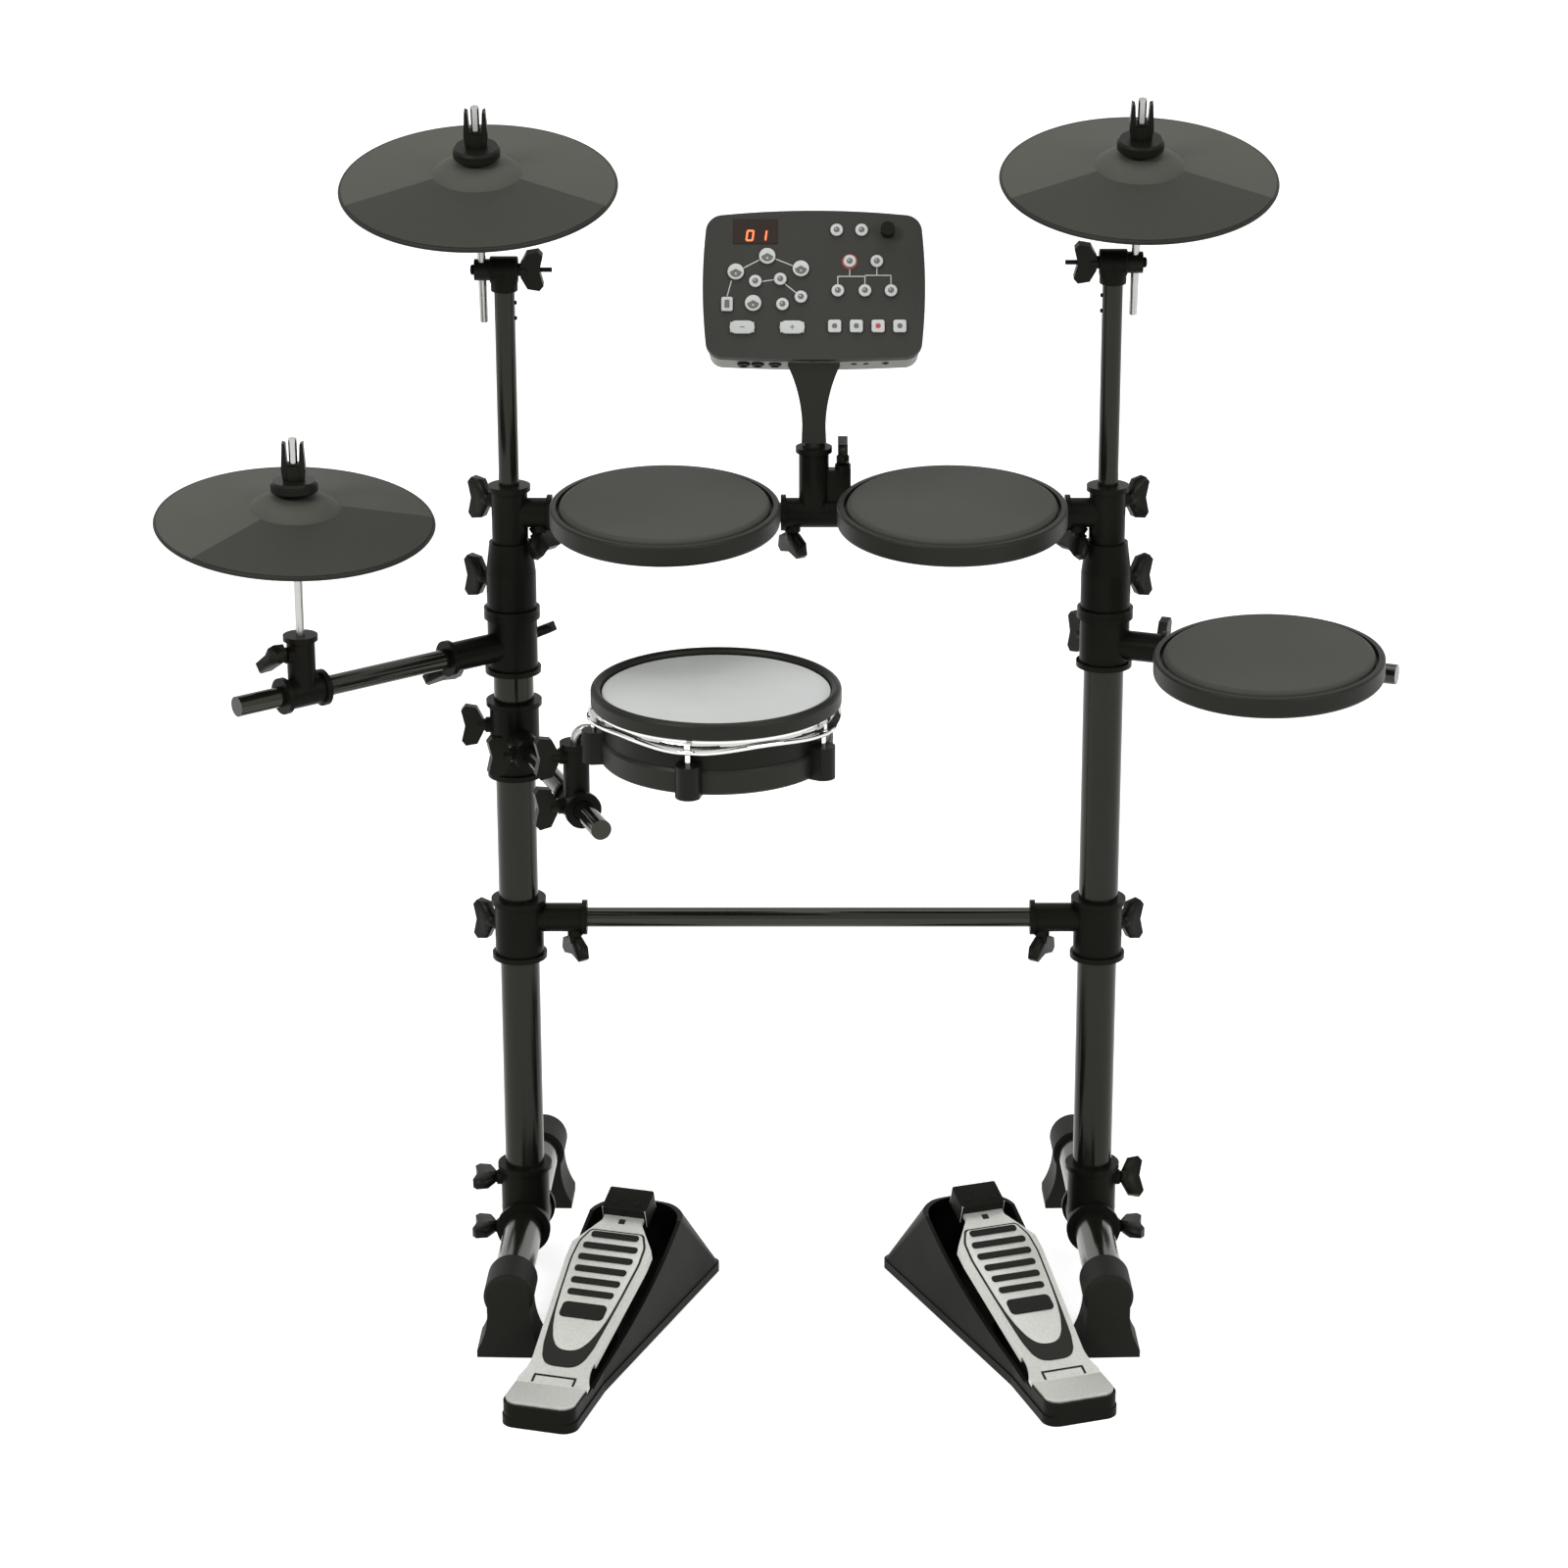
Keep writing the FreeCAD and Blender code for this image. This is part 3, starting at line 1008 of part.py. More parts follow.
def base_outline(side, wide, length, corner, rear_corner):
    """A pedal base from above: a parallel heel that widens from the start of the hood to its rear."""
    return [
        (corner - side, 0, corner * 1.02, -1), (side - corner, 0), (side, corner, corner * 1.02, -1),
        (side, d.hood_start), (wide, length - rear_corner), (wide - rear_corner, length, rear_corner * 1.02, -1),
        (rear_corner - wide, length), (-wide, length - rear_corner, rear_corner * 1.02, -1), (-side, d.hood_start),
        (-side, corner),
    ]


def room_outline(side, wide, length, rear_corner):
    """The room inside a pedal base at one height, from behind its hinge."""
    start = d.hinge_y + d.knuckle_radius * 2
    return [
        (-side, start), (side, start), (side, d.hood_start), (wide, length - rear_corner),
        (wide - rear_corner, length, rear_corner * 1.02, -1), (rear_corner - wide, length),
        (-wide, length - rear_corner, rear_corner * 1.02, -1), (-side, d.hood_start),
    ]


board_low = d.knuckle_radius - d.hinge_clear


def pedal_base():
    """The moulded base: a heel block, the hinge pin and a hood that flares out around the toe."""
    lip, wall = d.pedal_lip_edge, d.pedal_wall
    side, wide, rim = d.pedal_heel_width / 2, d.pedal_base_width / 2, d.pedal_rim_width / 2
    length, corner, rear, rim_end = d.pedal_length, d.heel_corner, d.pedal_rear_corner, d.pedal_rim_end
    sole = plate(base_outline(side, wide, length, corner, rear), d.pedal_lip)
    shell = lofted(base_outline(side - lip, wide - lip, length - lip, corner, rear),
                   base_outline(side - lip, rim, rim_end, corner, d.pedal_rim_corner), d.pedal_lip, d.hood_height)
    profile = plate([
        (-d.overrun, 0), (length + d.overrun, 0), (length + d.overrun, d.hood_height * 0.6),
        (rim_end - d.hood_crest, d.hood_height, d.hood_height * 1.1, -1),
        (d.hood_start, d.hood_low + wall, length * 3, 1), (d.hinge_y + d.overrun, d.hood_low),
        (d.hinge_y + d.overrun, d.heel_height), (-d.overrun, d.heel_height),
    ], d.pedal_base_width * 2, "YZ_Plane")
    profile.Placement = Placement(vec(-d.pedal_base_width, 0, 0), Rotation())
    hood = doc.addObject("Part::Common", "hood")
    hood.Base = fuse(sole, shell)
    hood.Tool = profile
    inner = side - lip - wall
    room = lofted(room_outline(inner, wide - lip - wall, length - lip - wall, rear),
                  room_outline(inner, rim - wall, rim_end - wall, d.pedal_rim_corner), wall, d.hood_height)
    slot_width, slot_depth = d.knuckle_width + d.hinge_clear, (d.knuckle_radius + d.hinge_clear) * 2
    slot = box(slot_width, slot_depth, d.hood_height, vec(0, d.hinge_y, wall))
    passage = box(slot_width, slot_depth, d.hood_height, vec(0, d.hinge_y + d.knuckle_radius, wall))
    lap = (d.board_heel_lap + d.hinge_clear) * 2.4
    over_hinge = box(d.pedal_heel_width + d.overrun, lap * 2, d.hood_height,
                     vec(0, d.hinge_y + lap / 2, d.hinge_z + d.hinge_clear))
    pin_half = side - lip - d.pin_end_cover
    pin = cylinder(d.hinge_pin_radius, pin_half * 2, vec(-pin_half, d.hinge_y, d.hinge_z), RIGHT)
    pressed = math.tan(math.radians(float(d.board_slope - d.board_press)))
    stop_height = d.hinge_z + (d.stop_along - d.stop_radius) * pressed + board_low - d.seat_gap * 2 - wall / 2
    stop = cylinder(d.stop_radius, stop_height, vec(0, d.hinge_y + d.stop_along, wall / 2))
    return fuse(cut(hood, room, slot, passage, over_hinge), pin, stop)


def board_outline(inset):
    """A footboard from above, along from its hinge: narrow at the waist, wide under the ball of the foot."""
    heel, waist, broad = d.board_heel_width / 2, d.board_waist / 2 - inset, d.board_wide / 2 - inset
    toe, lap, along, shoulder = d.board_toe_width / 2 - inset, d.board_heel_lap, d.board_waist_along, d.board_shoulder
    return [
        (-heel, -lap), (heel, -lap), (heel, lap), (waist, along, along * 1.7, 1),
        (broad, shoulder - d.board_shoulder_length), (broad, shoulder), (toe, shoulder + d.board_taper),
        (toe, d.board_length), (-toe, d.board_length), (-toe, shoulder + d.board_taper),
        (-broad, shoulder), (-broad, shoulder - d.board_shoulder_length), (-waist, along),
        (-heel, lap, along * 1.7, 1),
    ]


def footboard():
    """A footboard with skirts along its sides, a knuckle on the hinge pin and a block at its toe."""
    skirt_low = board_low - d.board_skirt
    tray = plate(board_outline(sized(0)), d.board_skirt + d.board_thick)
    tray.Placement = Placement(vec(0, 0, skirt_low), Rotation())
    under = plate(board_outline(d.board_skirt_wall), d.board_skirt)
    under.Placement = Placement(vec(0, 0, skirt_low), Rotation())
    heel_end = box(d.board_wide * 2, d.board_waist_along * 2, d.board_skirt, vec(0, 0, skirt_low))
    toe_start = d.board_shoulder + d.board_taper
    toe_end = box(d.board_wide, d.board_length, d.board_skirt, vec(0, toe_start + d.board_length / 2, skirt_low))
    knuckle = cylinder(d.knuckle_radius, d.knuckle_width, vec(-d.knuckle_width / 2, 0, 0), RIGHT)
    block = box(d.board_toe_width + d.toe_block_lap * 2, d.toe_block_length, d.toe_block_height + d.board_skirt,
                vec(0, d.board_length - d.toe_block_length / 2 + d.toe_block_lap, skirt_low))
    bore = cylinder(d.hinge_pin_radius + d.tube_fit, d.knuckle_width + d.overrun * 2,
                    vec(-d.knuckle_width / 2 - d.overrun, 0, 0), RIGHT)
    return cut(fuse(cut(tray, under, heel_end, toe_end), knuckle, block), bore)


def pedal_place(way, forward, yaw):
    """Where a pedal stands beside a front foot: its heel so far forward, its side just clear of the foot."""
    turn = math.radians(abs(float(yaw)))
    leg = Placement(-LEFT, Rotation(UP, float(d.leg_toe_out)))
    foot = leg.multVec(vec(-d.foot_width / 2, -d.leg_front - d.foot_end_wall, 0))
    heel_y = -float(d.leg_front + d.foot_end_wall + forward)
    side = float(d.pedal_heel_width) / 2
    flare = (float(d.pedal_base_width) / 2 - side) / float(d.pedal_length - d.pedal_rear_corner - d.hood_start)
    root = side - flare * float(d.hood_start)
    along = (foot.y - heel_y - root * math.sin(turn)) / (math.cos(turn) + flare * math.sin(turn))
    edge = max(root + flare * along, side)
    heel_x = foot.x - float(d.pedal_clear) - edge * math.cos(turn) + along * math.sin(turn)
    return Placement(vec(heel_x * way, heel_y, 0), Rotation(UP, float(yaw)))


def pedals():
    """Two pedals: bases with their heel plates, and the footboards hinged on them."""
    edge, side, corner = d.heel_plate_edge, d.pedal_heel_width / 2, d.heel_corner
    places = {"kick": pedal_place(1, d.kick_forward, d.kick_yaw),
              "hihat": pedal_place(-1, d.hat_pedal_forward, d.hat_pedal_yaw)}
    bases, heels = [], []
    for name, place in places.items():
        bases.append(moved(pedal_base(), place))
        heel = plate([
            (corner - side, edge, corner, -1), (side - corner, edge), (side - edge, corner, corner, -1),
            (side - edge, d.heel_length), (edge - side, d.heel_length), (edge - side, corner),
        ], d.heel_plate_thick)
        heels.append(moved(heel, place * Placement(vec(0, 0, d.heel_height), Rotation())))
        hinge = Placement(vec(0, d.hinge_y, d.hinge_z), Rotation(RIGHT, float(d.board_slope)))
        node(f"{name}_footboard", footboard(), place * hinge)
    node("pedal_bases", group(*bases))
    node("pedal_heel_plates", group(*heels))


module()
pedals()

doc.recompute()
for item in doc.Objects:
    if "Invalid" in item.State or "Error" in item.State:
        raise RuntimeError(f"{item.Name} failed: {item.getStatusString()}")
for name, part in NODES.items():
    if part.Shape.isNull() or not part.Shape.isValid():
        raise RuntimeError(f"{name} has no valid shape")

os.makedirs("parts", exist_ok=True)
for name, part in NODES.items():
    part.Shape.exportStep(f"parts/{name}.step")
print(len(NODES), "sub-parts written")
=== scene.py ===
import json
import math

import bmesh
import bpy
from mathutils import Matrix, Vector


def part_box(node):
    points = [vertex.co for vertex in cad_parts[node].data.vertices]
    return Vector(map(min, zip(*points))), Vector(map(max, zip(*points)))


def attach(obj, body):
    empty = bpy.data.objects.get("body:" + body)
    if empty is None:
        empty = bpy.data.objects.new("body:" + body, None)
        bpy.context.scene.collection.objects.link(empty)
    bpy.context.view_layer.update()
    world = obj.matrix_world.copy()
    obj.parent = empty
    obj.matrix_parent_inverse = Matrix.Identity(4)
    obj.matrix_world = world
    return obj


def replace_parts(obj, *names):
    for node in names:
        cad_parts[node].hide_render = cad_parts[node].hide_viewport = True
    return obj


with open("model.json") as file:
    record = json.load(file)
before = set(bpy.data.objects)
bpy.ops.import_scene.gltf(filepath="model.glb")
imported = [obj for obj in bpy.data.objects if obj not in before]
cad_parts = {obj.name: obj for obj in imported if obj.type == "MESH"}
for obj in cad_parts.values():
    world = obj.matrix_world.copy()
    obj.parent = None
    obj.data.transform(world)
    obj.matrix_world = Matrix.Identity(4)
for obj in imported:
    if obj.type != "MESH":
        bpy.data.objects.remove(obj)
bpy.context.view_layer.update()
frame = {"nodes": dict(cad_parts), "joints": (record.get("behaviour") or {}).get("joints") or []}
NODES = frame["nodes"]
JOINTS = {joint["name"]: joint for joint in frame["joints"]}
MM = 0.001

# The photograph's frame in pixels, its lens in the same pixels, and the camera's place and pitch.
FRAME_WIDTH, LENS_PIXELS, SHIFT_PIXELS = 1600.0, 4528.0, -25.0
SENSOR_WIDTH = 36.0
CAMERA_PLACE = (0.0217, -3.9311, 1.95)
CAMERA_PITCH = 19.7

# Studio lamps: place, aim, size and power; then the light of the surroundings and of the floor.
LAMPS = {
    "key": ((-3.4, -3.8, 4.4), (0, 0, 0.6), (1.8, 1.8), 165.0),
    "fill": ((3.6, -3.2, 3.2), (0, 0, 0.6), (1.6, 2.0), 80.0),
    "top": ((0.0, 0.4, 5.2), (0, 0, 0.5), (4.0, 3.0), 90.0),
}
SURROUND_LIGHT, SURROUND_WHITE = 0.28, 1.0
FLOOR_SIZE, FLOOR_COLOR, FLOOR_ROUGH = 30.0, (0.86, 0.86, 0.86, 1.0), 0.9
FLOOR_NEAR, FLOOR_FAR = (1.6, 0.7), (4.5, 1.0)
WHITE = (1.0, 1.0, 1.0, 1.0)

# How finely forms are made: steps round them, segments on a soft edge or corner, cuts in a line.
HOOP_STEPS, RING_STEPS, HEAD_STEPS, BAR_STEPS, ZONE_STEPS = 180, 120, 72, 64, 60
KEY_STEPS, BOLT_STEPS, COLLAR_STEPS, SCREW_STEPS = 40, 32, 32, 24
LARGE_DOT_STEPS, SMALL_DOT_STEPS = 20, 16
EDGE_SEGMENTS, CORNER_SEGMENTS = 3, 6
ZONE_CUTS, HEAD_CUTS = 9, 11

# Angles in degrees past which an edge stays sharp, on most pieces and on the round ones.
SHARP_ANGLE = 40.0
ZONE_SHARP, EDGE_SHARP, HOOP_SHARP, BAND_SHARP = 20.0, 60.0, 50.0, 30.0

# Points this near each other are merged, or count as level, in millimetres.
MERGE_GAP, LEVEL_GAP = 0.01, 0.001

# A pedal's footboard, in millimetres: across it, along it from its hinge, off its middle plane.
BOARD_SLOPE = 18.5
BOARD_TOP, GROOVE_ROOT, GROOVE_TOP, LINE_TOP = 8.0, 7.5, 8.25, 8.2
TONGUE_TOP, STRIP_TOP, THUMB_TOP = 9.0, 10.4, 10.6
# SHIELD is the outer edge of a dark band of painted shade round the raised tongue.
SHIELD = [
    (9, 22), (16, 25), (21, 33), (25, 50), (28, 80), (31.5, 120), (35, 166), (34, 190), (27, 208),
]
TONGUE = [
    (5, 44), (12, 48), (18, 58), (23, 74), (26.5, 92), (29.5, 120), (33, 166), (32, 189),
    (25.5, 206),
]
SHIELD_CORNER, TONGUE_EDGE = 3.5, 0.4
STRIPS = [(200, 48), (184, 55), (168, 55), (152, 52), (136, 49), (120, 46)]
STRIP_LENGTH, STRIP_CORNER, STRIP_EDGE = 8.0, 3.2, 0.8
THUMB_PAD, THUMB_CORNER, THUMB_EDGE = (0, 96, 44, 20), 5.0, 0.9
# The peg hole and the heel lines are laid as dark patches of painted shade.
PEG_HOLE, PEG_CORNER = (0, 222, 6.5, 6.5), 0.6
HEEL_LINES = [(0, 9, 42, 2.4), (-20, 3.6, 2.4, 9), (20, 3.6, 2.4, 9)]
TOE_CAP, TOE_FOOT, TOE_TOP = (0, 245, 45, 31), -2.6, 17.8
TOE_CORNER, TOE_EDGE = 2.5, 2.0
TOE_SCREWS, SCREW_RADIUS = [(-12, 238), (12, 238)], 2.6
SCREW_ROOT, SCREW_TOP, SCREW_EDGE = 17.0, 18.6, 0.5

# Cymbals, in millimetres and degrees: the bell over the rim plane, each one's tilt, roll and turn,
# the playing zone's bow from its inner to its outer end, and the section of the edge.
BELL_HEIGHT = 22.5
CYMBAL_LEANS = {
    "crash": (14.5, 0.0, 0.0), "ride": (14.5, 0.0, 0.0), "hihat": (7.0, 3.0, 30.0),
}
ZONE_HALF_ANGLE = math.radians(70.0)
ZONE_BOW = [(42.0, 13.0), (124.5, 0.4)]
ZONE_RISE, ZONE_ROOT = 0.7, 0.4
EDGE_SECTION = [
    (124.2, -3.7), (126.4, -3.4), (127.25, -1.9), (126.5, -0.3), (125.0, 0.25), (124.2, -0.5),
]

# A cymbal stand's head, in millimetres from its tilt bolt. The bolt's head and the tube's screws
# are given as radius, root and top.
BLOCK_RADIUS, BARREL_HALF, BLOCK_SKIRT, BLOCK_EDGE = 12.5, 13.0, 7.0, 1.4
BOLT_HEAD, HEAD_EDGE = (5.0, 26.8, 31.0), 2.4
TIP_RADIUS, TIP_ROOT, TIP_REACH, TIP_EDGE = 2.2, 6.0, 8.0, 0.6
TUBE_SCREWS, TUBE_SCREW, TUBE_SCREW_EDGE = [18.0, 32.5], (1.9, -1.0, 1.7), 0.7

# Wing bolts that are done up at other turns: the body that carries them, then each one's middle in
# millimetres, the line of its shank and its turn in degrees.
WING_TURNS = {
    "rack_wing_bolts": ("rack", [
        ((-294.5, 70.5, 105.0), (1, 0, 0), -48.0),
        ((-230.3, 68.9, 761.5), (0, -1, -1), 55.0),
        ((273.7, 68.9, 761.5), (0, -1, -1), -55.0),
    ]),
    "hihat_wing_bolts": ("hihat_arm", [((-462.5, -90.8, 697.0), (0.777, 0.629, 0), 48.0)]),
}
WING_REACH = 30.0

# Places on the module's panel, in millimetres from the middle of its lower edge.
LARGE_KEYS = [(-72, 81), (-43, 96), (-12, 84), (-56, 51)]
SMALL_KEYS = [
    (-54, 72), (-31, 74), (-12, 57), (-29, 50), (21, 121), (44, 121), (33, 91), (58, 91),
    (22, 63), (47, 63), (71, 63),
]
SQUARE_KEYS = [(19, 29), (39, 29), (59, 29), (79, 29)]
TALL_KEY = (-80, 50)
STEP_KEYS = [(-66, 28), (-20, 28)]
KNOB_PLACE = (68, 120)
RINGED_KEY, RING_RADIUS, LIT_KEY = (33, 91), 7.2, (59, 29)

# Key caps and the marks on them: heights off the panel, then radii for the round keys, and width,
# height and corner for the flat ones.
CAP_FOOT, CAP_TOP, MARK_TOP, DOT_TOP, CROSS_LIFT = 1.7, 3.0, 3.1, 3.2, 0.01
CAP_EDGE, BROAD_EDGE = 0.6, 0.7
SMALL_CAP, SMALL_MARK, SMALL_DOT, DOT_SHIFT = 5.8, 2.8, 0.7, 0.8
LARGE_CAP, LARGE_MARK, LARGE_DOT, DOT_DROP = 7.6, 5.6, 0.9, 2.2
ROOF_TOP, ROOF_FOOT = 2.6, -0.6
SQUARE_CAP, SQUARE_MARK = (12, 12, 2.2), (4.6, 4.6, 1.6)
TALL_CAP, TALL_MARK = (10.5, 13.5, 1.6), (4.6, 8.0, 1.2)
STEP_CAP = (23, 12.5, 6.0)
SIGN_HALF, SIGN_WIDTH = 2.2, 0.8

# The panel's printed rules, the segments of its lit digits, and the sockets on its lower side: each
# row's places, inner and outer radius and rise.
PRINT_ROOT, PRINT_TOP, RULE_WIDTH = -0.2, 0.12, 0.9
RULES = [
    [(-80, 58), (-76, 73)], [(-65, 85), (-50, 93)], [(-36, 94), (-19, 87)], [(-49, 72), (-36, 74)],
    [(-27, 70), (-16, 61)], [(33, 86), (33, 77)], [(22, 77), (47, 77)], [(22, 77), (22, 68)],
    [(47, 77), (47, 68)], [(58, 86), (58, 78)], [(47, 78), (71, 78)], [(71, 78), (71, 68)],
]
SEGMENTS = {
    "a": ((-0.5, 1), (0.5, 1)), "b": ((0.5, 1), (0.5, 0)), "c": ((0.5, 0), (0.5, -1)),
    "d": ((-0.5, -1), (0.5, -1)), "e": ((-0.5, 0), (-0.5, -1)), "f": ((-0.5, 1), (-0.5, 0)),
}
SHOWN_DIGITS = [(-59, "abcdef"), (-47, "bc")]
DIGIT_MIDDLE, DIGIT_HALF, DIGIT_WIDTH = 116.0, 4.6, 5.6
DIGIT_SLANT, DIGIT_STROKE, DIGIT_ROOT, DIGIT_TOP = 0.6, 1.6, 0.5, 0.72
JACK_ROWS = [((-65, -52, -36), 4.0, 6.0, 5.0), ((37, 48, 66), 2.4, 3.9, 2.5)]
JACK_FACE, JACK_DEPTH, JACK_EDGE = 4.0, -27.5, 1.0

# The snare, in millimetres: the woven head, the hoop's section and scallops, and the band round the
# shell's foot.
HEAD_MARGIN, WEAVE_LIFT = 1.0, 0.3
HOOP_SECTION = [
    (104.3, 0.5), (108.0, 0.0), (113.6, 0.2), (116.2, 1.0), (116.9, 2.5), (116.2, 4.0),
    (113.6, 4.7), (110.6, 5.3), (108.2, 7.0), (107.1, 9.6), (107.3, 12.2), (108.6, 13.8),
    (104.3, 13.8),
]
HOOP_WAIST, HOOP_WAIST_TOP, HOOP_RISE, SCALLOP = 108.0, 6.0, 3.6, 0.5
LUGS, LUG_START = 5, math.radians(-102.0)
BAND_SECTION = [
    (101.0, 1.0), (103.4, 0.4), (105.2, 2.2), (105.4, 20.5), (103.6, 23.0), (101.0, 23.0),
]

# The clouds of tone on a surface, the spread of its roughness, the depth of its grain and threads
# in metres, the tint of a gloss, and the glow of a lit digit.
CLOUD_RANGE, CLOUD_DETAIL, ROUGH_SPREAD = (0.3, 0.7), 5.0, 0.06
GRAIN_DETAIL, GRAIN_DEPTH = 3.0, 0.0006
THREAD_SCALE, THREAD_STRENGTH, THREAD_DEPTH = 380.0, 0.25, 0.0003
WARM_GLOSS = (1.0, 0.99, 0.86, 1.0)
GLOW_COLOR, GLOW_STRENGTH = (1.0, 0.16, 0.06, 1.0), 1.6


def link(tree, source, target):
    """Joins one node's output to another's input."""
    tree.links.new(source, target)


def value_range(tree, source, before, after):
    """Carries a value from one range to another."""
    made = tree.nodes.new("ShaderNodeMapRange")
    for socket, number in zip(("From Min", "From Max", "To Min", "To Max"), (*before, *after)):
        made.inputs[socket].default_value = number
    link(tree, source, made.inputs["Value"])
    return made.outputs["Result"]


def material(name, color, rough, metal=0.0, grain=0.0, grain_scale=600.0, tint=0.08,
             tint_scale=9.0, gleam=0.3):
    """A surface with slight changes of tone and roughness, and a fine grain."""
    made = bpy.data.materials.new(name)
    made.use_nodes = True
    tree = made.node_tree
    shader = tree.nodes["Principled BSDF"]
    shader.inputs["Metallic"].default_value = metal
    shader.inputs["Specular IOR Level"].default_value = gleam
    shader.inputs["Specular Tint"].default_value = WHITE if metal else WARM_GLOSS
    coords = tree.nodes.new("ShaderNodeTexCoord")
    cloud = tree.nodes.new("ShaderNodeTexNoise")
    cloud.inputs["Scale"].default_value = tint_scale
    cloud.inputs["Detail"].default_value = CLOUD_DETAIL
    link(tree, coords.outputs["Object"], cloud.inputs["Vector"])
    shade = tree.nodes.new("ShaderNodeVectorMath")
    shade.operation = "SCALE"
    shade.inputs[0].default_value = color
    tone = value_range(tree, cloud.outputs["Fac"], CLOUD_RANGE, (1.0 - tint, 1.0 + tint))
    link(tree, tone, shade.inputs["Scale"])
    link(tree, shade.outputs["Vector"], shader.inputs["Base Color"])
    spread = (rough - ROUGH_SPREAD, rough + ROUGH_SPREAD)
    polish = value_range(tree, cloud.outputs["Fac"], CLOUD_RANGE, spread)
    link(tree, polish, shader.inputs["Roughness"])
    if grain:
        grit = tree.nodes.new("ShaderNodeTexNoise")
        grit.inputs["Scale"].default_value = grain_scale
        grit.inputs["Detail"].default_value = GRAIN_DETAIL
        link(tree, coords.outputs["Object"], grit.inputs["Vector"])
        add_bump(tree, grit.outputs["Fac"], grain, GRAIN_DEPTH)
    return made


def add_bump(tree, height, strength, depth):
    """Gives a material a bump from a height."""
    bump = tree.nodes.new("ShaderNodeBump")
    bump.inputs["Strength"].default_value = strength
    bump.inputs["Distance"].default_value = depth
    link(tree, height, bump.inputs["Height"])
    link(tree, bump.outputs["Normal"], tree.nodes["Principled BSDF"].inputs["Normal"])


def lit_material():
    """A red lamp behind a digit."""
    made = material("lit_digit", (0.9, 0.12, 0.04), 0.5)
    shader = made.node_tree.nodes["Principled BSDF"]
    shader.inputs["Emission Color"].default_value = GLOW_COLOR
    shader.inputs["Emission Strength"].default_value = GLOW_STRENGTH
    return made


def weave_material():
    """A fine woven mesh of two crossing sets of threads, its tone slightly uneven."""
    made = material("mesh_weave", (0.60, 0.62, 0.605), 0.75, tint=0.04, tint_scale=14.0)
    tree = made.node_tree
    coords = tree.nodes.new("ShaderNodeTexCoord")
    both = tree.nodes.new("ShaderNodeMath")
    both.operation = "MAXIMUM"
    for number, way in enumerate("XY"):
        wave = tree.nodes.new("ShaderNodeTexWave")
        wave.bands_direction = way
        wave.inputs["Scale"].default_value = THREAD_SCALE
        link(tree, coords.outputs["Object"], wave.inputs["Vector"])
        link(tree, wave.outputs["Fac"], both.inputs[number])
    add_bump(tree, both.outputs["Value"], THREAD_STRENGTH, THREAD_DEPTH)
    return made


TUBE = material("black_tube", (0.0075, 0.0072, 0.0056), 0.14, tint=0.1, gleam=0.42)
LEG = material("leg_tube", (0.0085, 0.0082, 0.0066), 0.16, tint=0.1, gleam=0.85)
COLUMN = material("column_tube", (0.0075, 0.0072, 0.0056), 0.18, tint=0.1, gleam=0.24)
CLAMP = material("clamp_plastic", (0.0068, 0.0066, 0.0052), 0.36, grain=0.2, gleam=0.06)
NECK = material("neck_plastic", (0.0085, 0.0083, 0.0066), 0.3, grain=0.15, gleam=0.2)
WING = material("wing_plastic", (0.0080, 0.0078, 0.0062), 0.36, grain=0.15, gleam=0.10)
FOOT = material("foot_rubber", (0.0105, 0.0102, 0.0088), 0.6, grain=0.3, gleam=0.13)
ROD = material("steel_rod", (0.40, 0.40, 0.385), 0.28, metal=1.0)
CYMBAL = material("cymbal_rubber", (0.072, 0.0715, 0.062), 0.6, grain=0.25, grain_scale=900.0,
                  gleam=0.14)
PAD = material("pad_rubber", (0.056, 0.057, 0.0485), 0.6, grain=0.3, grain_scale=1100.0,
               gleam=0.14)
SHELL = material("pad_shell", (0.012, 0.012, 0.0105), 0.45, grain=0.15, gleam=0.16)
DRUM = material("drum_shell", (0.0055, 0.0055, 0.0048), 0.42, grain=0.1, gleam=0.14)
MESH = material("mesh_base", (0.42, 0.435, 0.42), 0.8, grain=0.4, grain_scale=1500.0)
CHROME = material("chrome", (0.70, 0.70, 0.68), 0.1, metal=1.0)
RIM = material("rim_rubber", (0.0110, 0.0110, 0.0095), 0.45, grain=0.2, gleam=0.18)
PANEL = material("panel", (0.036, 0.0355, 0.032), 0.55, grain=0.3, grain_scale=1400.0,
                 gleam=0.14)
CASE = material("rear_case", (0.40, 0.40, 0.37), 0.5, grain=0.3)
GLASS = material("display_window", (0.010, 0.002, 0.002), 0.12, gleam=0.4)
KEY = material("key_rubber", (0.50, 0.515, 0.50), 0.6, grain=0.2)
BOARD = material("circuit_board", (0.015, 0.09, 0.04), 0.45)
BASE = material("pedal_base", (0.010, 0.010, 0.0085), 0.42, grain=0.25, gleam=0.045)
PLATE = material("pedal_plate", (0.68, 0.68, 0.64), 0.4, metal=0.5, grain=0.3, grain_scale=700.0,
                 tint_scale=420.0)
SCREW = material("dark_screw", (0.006, 0.006, 0.006), 0.6, gleam=0.1)
BAND = material("shell_band", (0.0130, 0.0130, 0.0115), 0.4, grain=0.15, gleam=0.18)
EDGE = material("cymbal_edge", (0.016, 0.016, 0.014), 0.5, grain=0.2, gleam=0.16)
